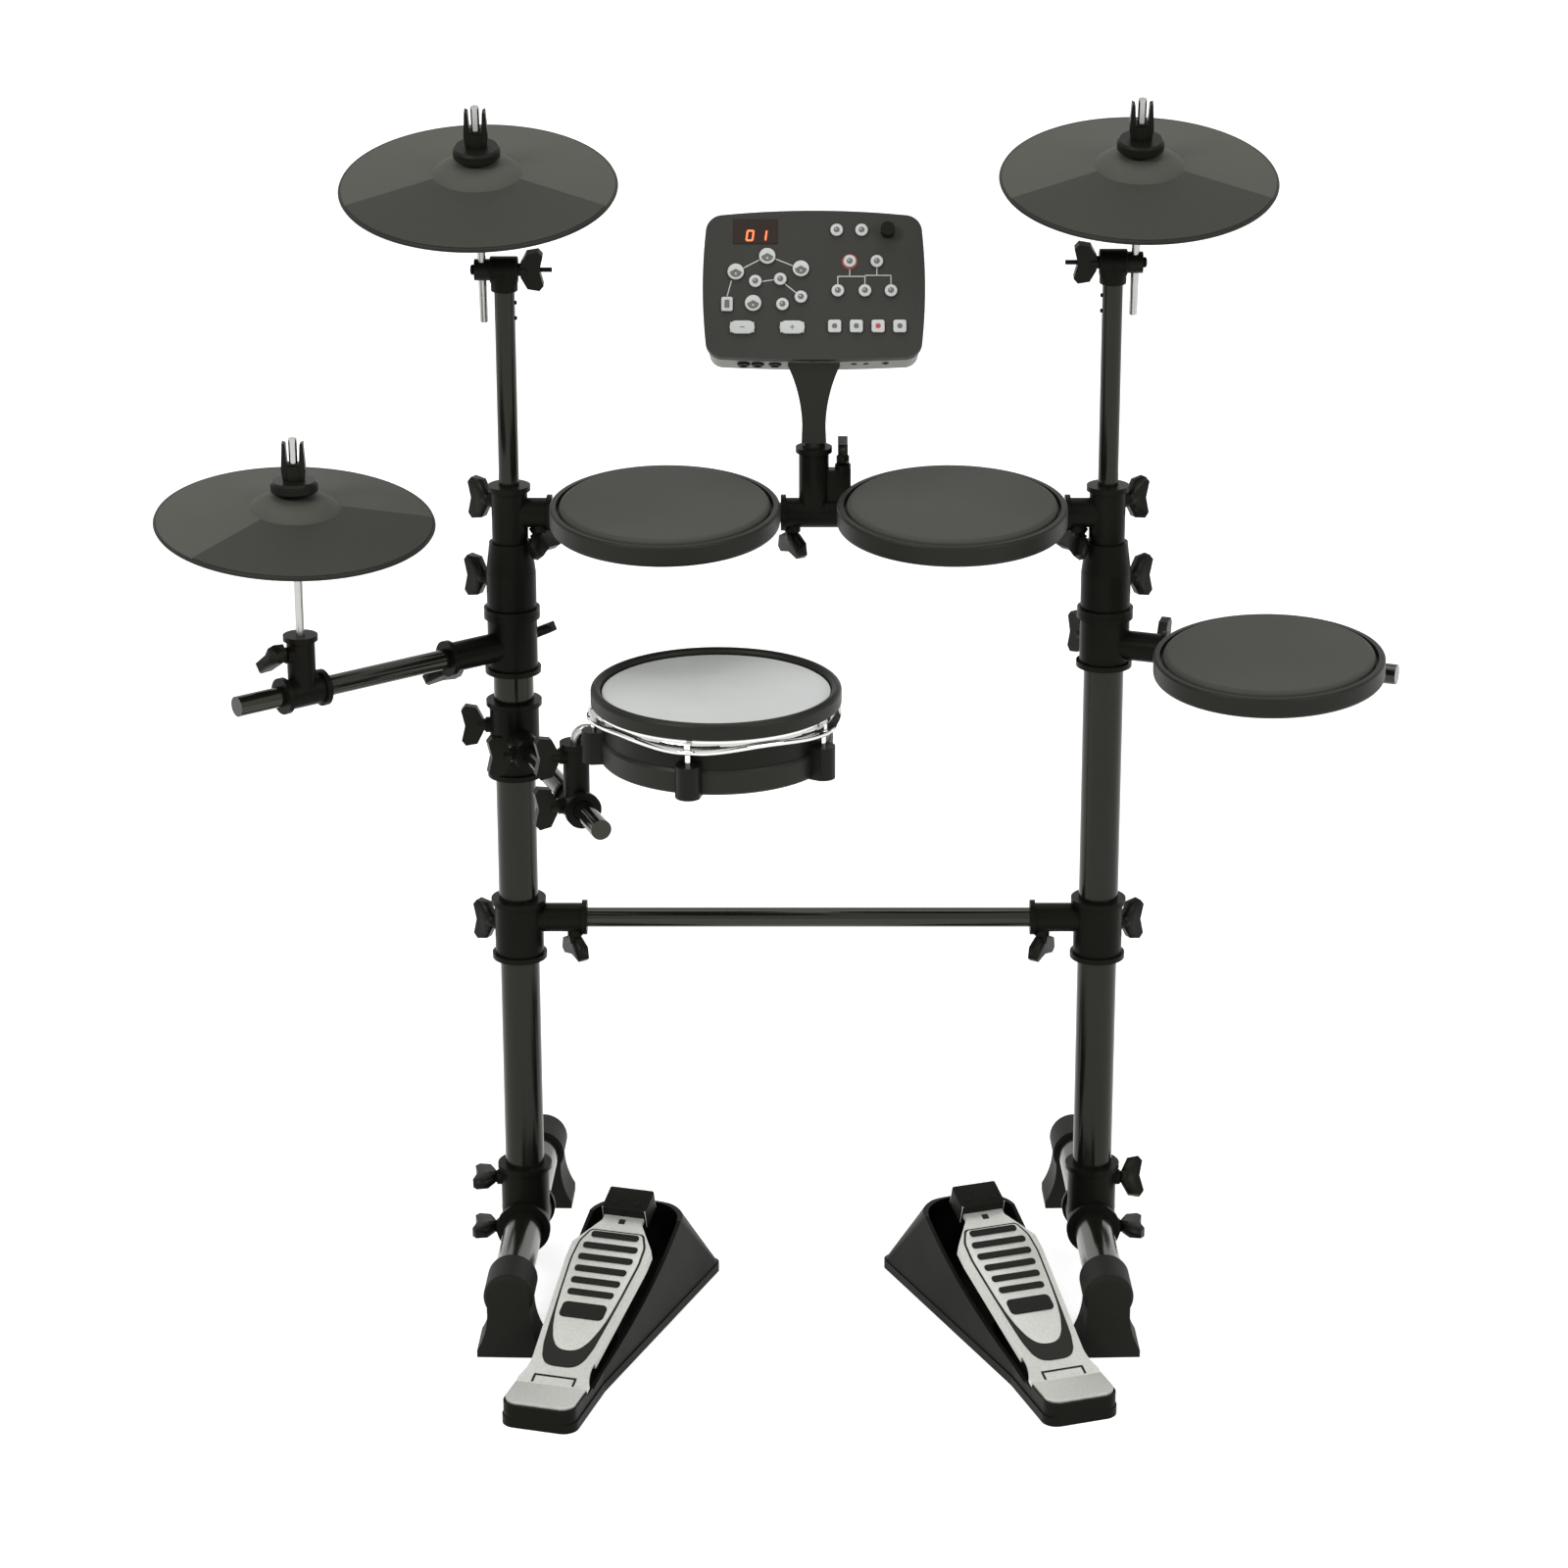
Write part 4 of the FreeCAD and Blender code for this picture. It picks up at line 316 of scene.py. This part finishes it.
# Painted shade: a near-black colour laid on the footboards along the shield's grooved outline, in
# the peg hole and in the heel lines, standing in for the shade inside them.
GROOVE_PAINTED_SHADE = material("shield_groove_painted_shade", (0.022, 0.022, 0.020), 0.55, grain=0.2, gleam=0.14)
SOCKET = material("jack_socket", (0.010, 0.010, 0.010), 0.4)
RED = material("red_ring", (0.42, 0.06, 0.07), 0.6)
TREAD = material("tread_rubber", (0.013, 0.013, 0.012), 0.6, grain=0.4, grain_scale=900.0,
                 gleam=0.14)
ZONE = material("cymbal_zone", (0.036, 0.037, 0.031), 0.62, grain=0.35, grain_scale=900.0,
                gleam=0.14)
PRINT = material("panel_print", (0.50, 0.50, 0.48), 0.7)
MARK = material("key_mark", (0.12, 0.12, 0.12), 0.6)
LIT = lit_material()
WEAVE = weave_material()

LOOKS = {
    LEG: ["leg_tubes"],
    TUBE: ["lower_crossbar", "upper_crossbar", "hihat_arm", "snare_arm", "floor_tom_bar"],
    COLUMN: ["columns", "crash_tube", "ride_tube"],
    CLAMP: ["leg_clamps", "crossbar_tees", "top_collars", "top_tees", "module_clamp",
            "crash_rod_block", "ride_rod_block", "hihat_arm_clamp", "hihat_holder",
            "floor_tom_clamp", "snare_arm_clamp", "snare_holder"],
    NECK: ["module_neck"],
    WING: ["rack_wing_bolts", "crash_fittings", "ride_fittings", "hihat_fittings",
           "hihat_wing_bolts", "floor_tom_wing_bolts", "snare_arm_wing_bolts",
           "snare_holder_wing_bolts", "module_knob"],
    FOOT: ["leg_feet"],
    ROD: ["crash_rod", "ride_rod", "hihat_rod", "snare_post"],
    CYMBAL: ["crash_cymbal", "ride_cymbal", "hihat_cymbal"],
    PAD: ["left_tom_pad", "right_tom_pad", "floor_tom_pad"],
    SHELL: ["left_tom_shell", "right_tom_shell", "floor_tom_shell"],
    DRUM: ["snare_shell"],
    MESH: ["snare_head"],
    CHROME: ["snare_hoop", "snare_tension_rods"],
    RIM: ["snare_rim"],
    PANEL: ["module_front"],
    CASE: ["module_rear"],
    GLASS: ["module_display"],
    KEY: ["module_round_keys", "module_flat_keys"],
    BOARD: ["module_board"],
    BASE: ["pedal_bases"],
    PLATE: ["pedal_heel_plates", "kick_footboard", "hihat_footboard"],
}
for look, names in LOOKS.items():
    for name in names:
        NODES[name].data.materials.clear()
        NODES[name].data.materials.append(look)


def add_object(name, geometry, look, body, sharp=SHARP_ANGLE):
    """A piece made from a bmesh, smooth but for its sharp edges, riding on a body."""
    mesh = bpy.data.meshes.new(name)
    bmesh.ops.recalc_face_normals(geometry, faces=geometry.faces)
    geometry.to_mesh(mesh)
    geometry.free()
    for face in mesh.polygons:
        face.use_smooth = True
    mesh.set_sharp_from_angle(angle=math.radians(sharp))
    mesh.materials.append(look)
    made = bpy.data.objects.new(name, mesh)
    bpy.context.scene.collection.objects.link(made)
    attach(made, body)
    return made


def join(geometry, part):
    """Adds a finished bmesh to the bmesh of a piece."""
    spare = bpy.data.meshes.new("spare")
    part.to_mesh(spare)
    part.free()
    geometry.from_mesh(spare)
    bpy.data.meshes.remove(spare)


def raise_faces(geometry, rise):
    """Raises all faces of an open bmesh into a closed form and gives the raised vertices."""
    raised = bmesh.ops.extrude_face_region(geometry, geom=geometry.faces[:])
    tops = [item for item in raised["geom"] if isinstance(item, bmesh.types.BMVert)]
    bmesh.ops.translate(geometry, verts=tops, vec=(0, 0, rise))
    return tops


def soften_edges(geometry, edges, width):
    """Rounds some edges of a bmesh."""
    bmesh.ops.bevel(geometry, geom=edges, offset=width, segments=EDGE_SEGMENTS, profile=0.5,
                    affect="EDGES", material=-1)


def raise_plate(geometry, plate, low, high, place, soften):
    """Adds a flat bmesh, raised from low to high with its upper edge softened, in millimetres."""
    tops = raise_faces(plate, high - low)
    if soften:
        crown = set(tops)
        soften_edges(plate, [edge for edge in plate.edges if crown.issuperset(edge.verts)], soften)
    bmesh.ops.translate(plate, verts=plate.verts[:], vec=(0, 0, low))
    bmesh.ops.transform(plate, matrix=place @ Matrix.Scale(MM, 4), verts=plate.verts[:])
    join(geometry, plate)


def slab(geometry, outline, low, high, place, corner=0.0, soften=0.0):
    """Adds an outline (x, y) with its corners turned, raised from low to high."""
    plate = bmesh.new()
    plate.faces.new([plate.verts.new((x, y, 0)) for x, y in outline])
    if corner:
        bmesh.ops.bevel(plate, geom=plate.verts[:], offset=corner, segments=CORNER_SEGMENTS,
                        profile=0.5, affect="VERTICES", clamp_overlap=True, material=-1)
    raise_plate(geometry, plate, low, high, place, soften)


def button(geometry, x, y, radius, low, high, place, soften=0.0, steps=KEY_STEPS, roof=False):
    """Adds a disc raised from low to high, or its lower part under two roof lines."""
    plate = bmesh.new()
    bmesh.ops.create_circle(plate, cap_ends=True, segments=steps, radius=radius)
    if roof:
        for side in (-1, 1):
            whole = plate.verts[:] + plate.edges[:] + plate.faces[:]
            slope = (side * (ROOF_TOP - ROOF_FOOT), radius, 0)
            bmesh.ops.bisect_plane(plate, geom=whole, dist=LEVEL_GAP, plane_co=(0, ROOF_TOP, 0),
                                   plane_no=slope, clear_outer=True)
    bmesh.ops.translate(plate, verts=plate.verts[:], vec=(x, y, 0))
    raise_plate(geometry, plate, low, high, place, soften)


def turned_bar(geometry, radius, low, high, place, soften, steps=BAR_STEPS):
    """Adds a round bar from low to high with both rims softened, in millimetres."""
    bar = bmesh.new()
    bmesh.ops.create_cone(bar, cap_ends=True, segments=steps, radius1=radius, radius2=radius,
                          depth=high - low)
    rims = [edge for edge in bar.edges
            if abs(edge.verts[0].co.z - edge.verts[1].co.z) < LEVEL_GAP]
    soften_edges(bar, rims, soften)
    bmesh.ops.translate(bar, verts=bar.verts[:], vec=(0, 0, (low + high) / 2))
    bmesh.ops.transform(bar, matrix=place @ Matrix.Scale(MM, 4), verts=bar.verts[:])
    join(geometry, bar)


def rectangle(x, y, width, height):
    """The corners of an upright rectangle about its middle."""
    return [(x - width / 2, y - height / 2), (x + width / 2, y - height / 2),
            (x + width / 2, y + height / 2), (x - width / 2, y + height / 2)]


def stroke(geometry, start, end, width, low, high, place):
    """Adds a thin straight rule."""
    first, last = Vector(start), Vector(end)
    side = (last - first).normalized().orthogonal() * (width / 2)
    slab(geometry, [first - side, last - side, last + side, first + side], low, high, place)


def spin_about(geometry, angle, steps, full=False):
    """Spins all of a bmesh about Z."""
    bmesh.ops.spin(geometry, geom=geometry.verts[:] + geometry.edges[:], cent=(0, 0, 0),
                   axis=(0, 0, 1), dvec=(0, 0, 0), angle=angle, steps=steps, use_merge=full)


def spun_ring(section, steps):
    """A ring about Z from a closed section (radius, height) in millimetres."""
    ring = bmesh.new()
    loop = [ring.verts.new((radius * MM, 0, height * MM)) for radius, height in section]
    for first, last in zip(loop, loop[1:] + loop[:1]):
        ring.edges.new((first, last))
    spin_about(ring, 2 * math.pi, steps, full=True)
    return ring


def mirrored(half):
    """A closed outline from its right half, listed from the bottom up."""
    return half + [(-x, y) for x, y in reversed(half)]


def pedal_frame(joint_name):
    """The footboard's frame: across the pedal, along the board from its hinge, off its face."""
    joint = JOINTS[joint_name]
    across = Vector(joint["axis"]).normalized()
    turn = math.atan2(across.y, across.x)
    return (Matrix.Translation(joint["pos_m"]) @ Matrix.Rotation(turn, 4, "Z")
            @ Matrix.Rotation(math.radians(BOARD_SLOPE), 4, "X"))


def dress_pedal(side):
    """Treads, toe cap and screws on one footboard, with dark painted shade along the shield's
    grooved outline, in the peg hole and in the heel lines.
    """
    place = pedal_frame(f"{side}_press")
    body = f"{side}_footboard"
    # Painted shade: dark bands for the shade in the shield's grooved outline, the peg hole and the
    # heel lines.
    groove_painted_shade = bmesh.new()
    slab(groove_painted_shade, mirrored(SHIELD), GROOVE_ROOT, GROOVE_TOP, place, SHIELD_CORNER)
    slab(groove_painted_shade, rectangle(*PEG_HOLE), GROOVE_ROOT, LINE_TOP, place, PEG_CORNER)
    for line in HEEL_LINES:
        slab(groove_painted_shade, rectangle(*line), GROOVE_ROOT, LINE_TOP, place)
    add_object(f"{side}_groove", groove_painted_shade, GROOVE_PAINTED_SHADE, body)
    tongue = bmesh.new()
    slab(tongue, mirrored(TONGUE), GROOVE_ROOT, TONGUE_TOP, place, SHIELD_CORNER, TONGUE_EDGE)
    add_object(f"{side}_tongue", tongue, PLATE, body)
    treads = bmesh.new()
    for along, width in STRIPS:
        slab(treads, rectangle(0, along, width, STRIP_LENGTH), BOARD_TOP, STRIP_TOP, place,
             STRIP_CORNER, STRIP_EDGE)
    slab(treads, rectangle(*THUMB_PAD), BOARD_TOP, THUMB_TOP, place, THUMB_CORNER, THUMB_EDGE)
    add_object(f"{side}_treads", treads, TREAD, body)
    cap = bmesh.new()
    slab(cap, rectangle(*TOE_CAP), TOE_FOOT, TOE_TOP, place, TOE_CORNER, TOE_EDGE)
    add_object(f"{side}_toe_cap", cap, BASE, body)
    screws = bmesh.new()
    for x, y in TOE_SCREWS:
        button(screws, x, y, SCREW_RADIUS, SCREW_ROOT, SCREW_TOP, place, SCREW_EDGE, SCREW_STEPS)
    add_object(f"{side}_screws", screws, SCREW, body)


def dress_stand(name, side):
    """The block at a cymbal stand's top, its tilt bolt's ends, and the screws in the tube below."""
    pivot = Vector(JOINTS[f"{name}_tilt"]["pos_m"])
    tube_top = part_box(f"{name}_tube")[1]
    seat = Matrix.Translation(pivot)
    outward = seat @ Matrix.Rotation(side * math.pi / 2, 4, "Y")
    inward = seat @ Matrix.Rotation(-side * math.pi / 2, 4, "Y")
    down = seat @ Matrix.Rotation(math.pi, 4, "X")
    drop = (pivot.z - tube_top[2]) / MM
    block = bmesh.new()
    turned_bar(block, BLOCK_RADIUS, -BARREL_HALF, BARREL_HALF, outward, BLOCK_EDGE)
    turned_bar(block, BLOCK_RADIUS, 0.0, drop + BLOCK_SKIRT, down, BLOCK_EDGE)
    head = add_object(f"{name}_head_block", block, CLAMP, f"{name}_stand")
    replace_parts(head, f"{name}_rod_block")
    bolt = bmesh.new()
    turned_bar(bolt, *BOLT_HEAD, outward, HEAD_EDGE, BOLT_STEPS)
    low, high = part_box(f"{name}_fittings")
    wing_end = (pivot.x - low[0] if side > 0 else high[0] - pivot.x) / MM
    turned_bar(bolt, TIP_RADIUS, wing_end - TIP_ROOT, wing_end + TIP_REACH, inward, TIP_EDGE,
               SCREW_STEPS)
    add_object(f"{name}_tilt_bolt", bolt, SCREW, f"{name}_tilter")
    screws = bmesh.new()
    radius, root, rise = TUBE_SCREW
    wall = abs(tube_top[0] - pivot.x) / MM
    for below in TUBE_SCREWS:
        level = Matrix.Translation((0, 0, -(drop + below) * MM)) @ inward
        turned_bar(screws, radius, wall + root, wall + rise, level, TUBE_SCREW_EDGE, SCREW_STEPS)
    add_object(f"{name}_tube_screws", screws, SCREW, f"{name}_stand")


def turn_wings(node):
    """A node's wing bolts, with some of them turned about their shanks."""
    body, turns = WING_TURNS[node]
    bolts = bmesh.new()
    bolts.from_mesh(NODES[node].data)
    bmesh.ops.remove_doubles(bolts, verts=bolts.verts[:], dist=MERGE_GAP * MM)
    for place, shank, angle in turns:
        middle = Vector(place) * MM
        near = [vert for vert in bolts.verts if (vert.co - middle).length < WING_REACH * MM]
        turn = Matrix.Rotation(math.radians(angle), 3, shank)
        bmesh.ops.rotate(bolts, verts=near, cent=middle, matrix=turn)
    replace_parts(add_object(f"{node}_set", bolts, WING, body), node)


def cymbal_frame(name):
    """A cymbal's frame, its rim plane at zero: tilted forward, rolled aside, turned on its rod."""
    tilt, roll, turn = (math.radians(angle) for angle in CYMBAL_LEANS[name])
    return (Matrix.Translation(JOINTS[f"{name}_rock"]["pos_m"]) @ Matrix.Rotation(roll, 4, "Y")
            @ Matrix.Rotation(tilt, 4, "X") @ Matrix.Translation((0, 0, -BELL_HEIGHT * MM))
            @ Matrix.Rotation(turn, 4, "Z"))


def dress_cymbal(name):
    """The raised playing zone, its bow line spun over the zone's angle, and the dark edge."""
    place = cymbal_frame(name)
    skin = bmesh.new()
    ends = [skin.verts.new((radius * MM, 0, (top - ZONE_ROOT) * MM)) for radius, top in ZONE_BOW]
    bow = skin.edges.new(ends)
    bmesh.ops.subdivide_edges(skin, edges=[bow], cuts=ZONE_CUTS)
    start = Matrix.Rotation(-math.pi / 2 - ZONE_HALF_ANGLE, 3, "Z")
    bmesh.ops.rotate(skin, verts=skin.verts[:], cent=(0, 0, 0), matrix=start)
    spin_about(skin, 2 * ZONE_HALF_ANGLE, ZONE_STEPS)
    raise_faces(skin, (ZONE_RISE + ZONE_ROOT) * MM)
    bmesh.ops.transform(skin, matrix=place, verts=skin.verts[:])
    add_object(f"{name}_zone", skin, ZONE, f"{name}_cymbal", ZONE_SHARP)
    edge = spun_ring(EDGE_SECTION, RING_STEPS)
    bmesh.ops.transform(edge, matrix=place, verts=edge.verts[:])
    add_object(f"{name}_edge", edge, EDGE, f"{name}_cymbal", EDGE_SHARP)


def panel_frame():
    """The panel's frame: right, up it and off its face, from the middle of its lower edge."""
    joint = JOINTS["volume_turn"]
    normal = Vector(joint["axis"]).normalized()
    right = Vector((1, 0, 0))
    up = normal.cross(right).normalized()
    axes = Matrix((right, up, normal)).transposed().to_4x4()
    corner = Vector(joint["pos_m"]) - right * (KNOB_PLACE[0] * MM) - up * (KNOB_PLACE[1] * MM)
    return Matrix.Translation(corner) @ axes


def dress_module():
    """The panel's printed rules, lit digits and key ring, its key caps and the socket collars."""
    place = panel_frame()
    rules = bmesh.new()
    for start, end in RULES:
        stroke(rules, start, end, RULE_WIDTH, PRINT_ROOT, PRINT_TOP, place)
    add_object("panel_rules", rules, PRINT, "module")
    digits = bmesh.new()
    for middle, lit in SHOWN_DIGITS:
        for letter in lit:
            ends = [(middle + x * DIGIT_WIDTH + y * DIGIT_SLANT, DIGIT_MIDDLE + y * DIGIT_HALF)
                    for x, y in SEGMENTS[letter]]
            stroke(digits, *ends, DIGIT_STROKE, DIGIT_ROOT, DIGIT_TOP, place)
    add_object("panel_digits", digits, LIT, "module")
    ring = bmesh.new()
    button(ring, *RINGED_KEY, RING_RADIUS, PRINT_ROOT, PRINT_TOP, place)
    add_object("red_key_ring", ring, RED, "module")
    dress_round_keys(place)
    dress_flat_keys(place)
    dress_jacks(place)


def dress_round_keys(place):
    """Soft pale caps on the round keys, with a dark mark and a pale dot on each."""
    caps, marks, dots = bmesh.new(), bmesh.new(), bmesh.new()
    for x, y in SMALL_KEYS:
        button(caps, x, y, SMALL_CAP, CAP_FOOT, CAP_TOP, place, CAP_EDGE)
        button(marks, x, y, SMALL_MARK, CAP_FOOT, MARK_TOP, place)
        button(dots, x - DOT_SHIFT, y + DOT_SHIFT, SMALL_DOT, CAP_FOOT, DOT_TOP, place,
               steps=SMALL_DOT_STEPS)
    for x, y in LARGE_KEYS:
        button(caps, x, y, LARGE_CAP, CAP_FOOT, CAP_TOP, place, BROAD_EDGE)
        button(marks, x, y, LARGE_MARK, CAP_FOOT, MARK_TOP, place, roof=True)
        button(dots, x, y - DOT_DROP, LARGE_DOT, CAP_FOOT, DOT_TOP, place, steps=LARGE_DOT_STEPS)
    add_object("round_key_caps", caps, KEY, "round_keys")
    add_object("round_key_marks", marks, MARK, "round_keys")
    add_object("round_key_dots", dots, KEY, "round_keys")


def key_plate(geometry, x, y, form, top, place, soften=0.0):
    """Adds a flat key's cap or mark: its width, height and turned corner."""
    width, height, corner = form
    slab(geometry, rectangle(x, y, width, height), CAP_FOOT, top, place, corner, soften)


def dress_flat_keys(place):
    """Soft pale caps on the square, tall and step keys, with the marks on them."""
    caps, marks, lamp = bmesh.new(), bmesh.new(), bmesh.new()
    for x, y in SQUARE_KEYS:
        key_plate(caps, x, y, SQUARE_CAP, CAP_TOP, place, CAP_EDGE)
        mark = lamp if (x, y) == LIT_KEY else marks
        key_plate(mark, x, y, SQUARE_MARK, MARK_TOP, place)
    key_plate(caps, *TALL_KEY, TALL_CAP, CAP_TOP, place, CAP_EDGE)
    key_plate(marks, *TALL_KEY, TALL_MARK, MARK_TOP, place)
    for x, y in STEP_KEYS:
        key_plate(caps, x, y, STEP_CAP, CAP_TOP, place, BROAD_EDGE)
        stroke(marks, (x - SIGN_HALF, y), (x + SIGN_HALF, y), SIGN_WIDTH, CAP_FOOT, MARK_TOP, place)
    x, y = STEP_KEYS[1]
    stroke(marks, (x, y - SIGN_HALF), (x, y + SIGN_HALF), SIGN_WIDTH, CAP_FOOT,
           MARK_TOP + CROSS_LIFT, place)
    add_object("flat_key_caps", caps, KEY, "flat_keys")
    add_object("flat_key_marks", marks, MARK, "flat_keys")
    add_object("lit_key_mark", lamp, RED, "flat_keys")


def dress_jacks(place):
    """Raised collars round the sockets along the case's lower side."""
    collars = bmesh.new()
    downward = Matrix.Rotation(math.pi / 2, 4, "X")
    for row, inner, outer, rise in JACK_ROWS:
        section = [(inner, 0), (outer, 0), (outer, rise - JACK_EDGE), (outer - JACK_EDGE, rise),
                   (inner, rise)]
        for x in row:
            collar = spun_ring(section, COLLAR_STEPS)
            seat = Matrix.Translation((x * MM, JACK_FACE * MM, JACK_DEPTH * MM)) @ downward
            bmesh.ops.transform(collar, matrix=place @ seat, verts=collar.verts[:])
            join(collars, collar)
    add_object("jack_collars", collars, SOCKET, "module")


def dress_snare():
    """The woven head stretched over the snare, inside its rim."""
    low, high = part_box("snare_head")
    middle = (Vector(low) + Vector(high)) / 2
    radius = (high[0] - low[0]) / 2 - HEAD_MARGIN * MM
    sheet = bmesh.new()
    spoke = sheet.edges.new([sheet.verts.new((reach, 0, 0)) for reach in (0.0, radius)])
    bmesh.ops.subdivide_edges(sheet, edges=[spoke], cuts=HEAD_CUTS)
    spin_about(sheet, 2 * math.pi, HEAD_STEPS, full=True)
    bmesh.ops.remove_doubles(sheet, verts=sheet.verts[:], dist=MERGE_GAP * MM)
    level = high[2] + WEAVE_LIFT * MM
    bmesh.ops.translate(sheet, verts=sheet.verts[:], vec=(middle.x, middle.y, level))
    head = add_object("mesh_head", sheet, WEAVE, "snare")
    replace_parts(head, "snare_head")


def dress_hoop():
    """The rolled chrome hoop, drawn in between its rods, and the band round the shell's foot."""
    low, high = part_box("snare_hoop")
    middle = (Vector(low) + Vector(high)) / 2
    hoop = spun_ring(HOOP_SECTION, HOOP_STEPS)
    for vert in hoop.verts:
        turn = math.atan2(vert.co.y, vert.co.x) - LUG_START
        between = math.sin(turn * LUGS / 2) ** 2
        reach = vert.co.xy.length
        beyond = max(reach - HOOP_WAIST * MM, 0.0)
        vert.co.xy *= (reach - beyond * SCALLOP * between) / reach
        if beyond and vert.co.z < HOOP_WAIST_TOP * MM:
            vert.co.z += HOOP_RISE * MM * between
    bmesh.ops.translate(hoop, verts=hoop.verts[:], vec=(middle.x, middle.y, low[2]))
    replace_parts(add_object("rolled_hoop", hoop, CHROME, "snare", HOOP_SHARP), "snare_hoop")
    band = spun_ring(BAND_SECTION, RING_STEPS)
    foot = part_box("snare_shell")[0][2]
    bmesh.ops.translate(band, verts=band.verts[:], vec=(middle.x, middle.y, foot))
    add_object("shell_band", band, BAND, "snare", BAND_SHARP)


def white_rays(tree):
    """One for the rays that find a white background, and nought for those that light the object."""
    path = tree.nodes.new("ShaderNodeLightPath")
    found = path.outputs["Is Camera Ray"]
    for kind in ("Is Glossy Ray", "Is Transmission Ray"):
        either = tree.nodes.new("ShaderNodeMath")
        either.operation = "MAXIMUM"
        link(tree, found, either.inputs[0])
        link(tree, path.outputs[kind], either.inputs[1])
        found = either.outputs["Value"]
    return found


def build_stage():
    """A pale floor that runs out to white."""
    ground = bmesh.new()
    bmesh.ops.create_grid(ground, x_segments=1, y_segments=1, size=FLOOR_SIZE)
    mesh = bpy.data.meshes.new("floor")
    ground.to_mesh(mesh)
    ground.free()
    floor = bpy.data.objects.new("floor", mesh)
    bpy.context.scene.collection.objects.link(floor)
    white = bpy.data.materials.new("floor_white")
    white.use_nodes = True
    tree = white.node_tree
    shader = tree.nodes["Principled BSDF"]
    shader.inputs["Base Color"].default_value = FLOOR_COLOR
    shader.inputs["Roughness"].default_value = FLOOR_ROUGH
    shader.inputs["Specular IOR Level"].default_value = 0.0
    shader.inputs["Emission Color"].default_value = WHITE
    coords = tree.nodes.new("ShaderNodeTexCoord")
    reach = tree.nodes.new("ShaderNodeVectorMath")
    reach.operation = "LENGTH"
    link(tree, coords.outputs["Object"], reach.inputs[0])
    (near, near_light), (far, far_light) = FLOOR_NEAR, FLOOR_FAR
    light = value_range(tree, reach.outputs["Value"], (near, far), (near_light, far_light))
    lift = tree.nodes.new("ShaderNodeMath")
    lift.operation = "MULTIPLY"
    link(tree, white_rays(tree), lift.inputs[0])
    link(tree, light, lift.inputs[1])
    link(tree, lift.outputs["Value"], shader.inputs["Emission Strength"])
    mesh.materials.append(white)


def area_light(name, place, aim, size, power):
    """A rectangular lamp aimed at a point."""
    lamp = bpy.data.lights.new(name, "AREA")
    lamp.shape = "RECTANGLE"
    lamp.size, lamp.size_y = size
    lamp.energy = power
    holder = bpy.data.objects.new(name, lamp)
    bpy.context.scene.collection.objects.link(holder)
    holder.location = place
    holder.rotation_euler = (Vector(aim) - Vector(place)).to_track_quat("-Z", "Y").to_euler()


def build_light():
    """Soft lamps, and surroundings that look white and light the object gently."""
    world = bpy.data.worlds.new("studio")
    bpy.context.scene.world = world
    world.use_nodes = True
    tree = world.node_tree
    ground = tree.nodes["Background"]
    ground.inputs["Color"].default_value = WHITE
    level = value_range(tree, white_rays(tree), (0.0, 1.0), (SURROUND_LIGHT, SURROUND_WHITE))
    link(tree, level, ground.inputs["Strength"])
    for name, lamp in LAMPS.items():
        area_light(name, *lamp)


def build_camera():
    """The photograph's camera, shifted sideways as its frame is."""
    lens = bpy.data.cameras.new("camera")
    lens.sensor_width = SENSOR_WIDTH
    lens.lens = LENS_PIXELS / FRAME_WIDTH * SENSOR_WIDTH
    lens.shift_x = SHIFT_PIXELS / FRAME_WIDTH
    holder = bpy.data.objects.new("camera", lens)
    bpy.context.scene.collection.objects.link(holder)
    holder.location = CAMERA_PLACE
    holder.rotation_euler = (math.radians(90.0 - CAMERA_PITCH), 0.0, 0.0)
    bpy.context.scene.camera = holder


for pedal in ("kick", "hihat"):
    dress_pedal(pedal)
for wings in WING_TURNS:
    turn_wings(wings)
for stand, side in (("crash", -1), ("ride", 1)):
    dress_stand(stand, side)
for cymbal in CYMBAL_LEANS:
    dress_cymbal(cymbal)
dress_snare()
dress_hoop()
dress_module()
build_stage()
build_light()
build_camera()
bpy.context.scene.view_settings.view_transform = "Standard"
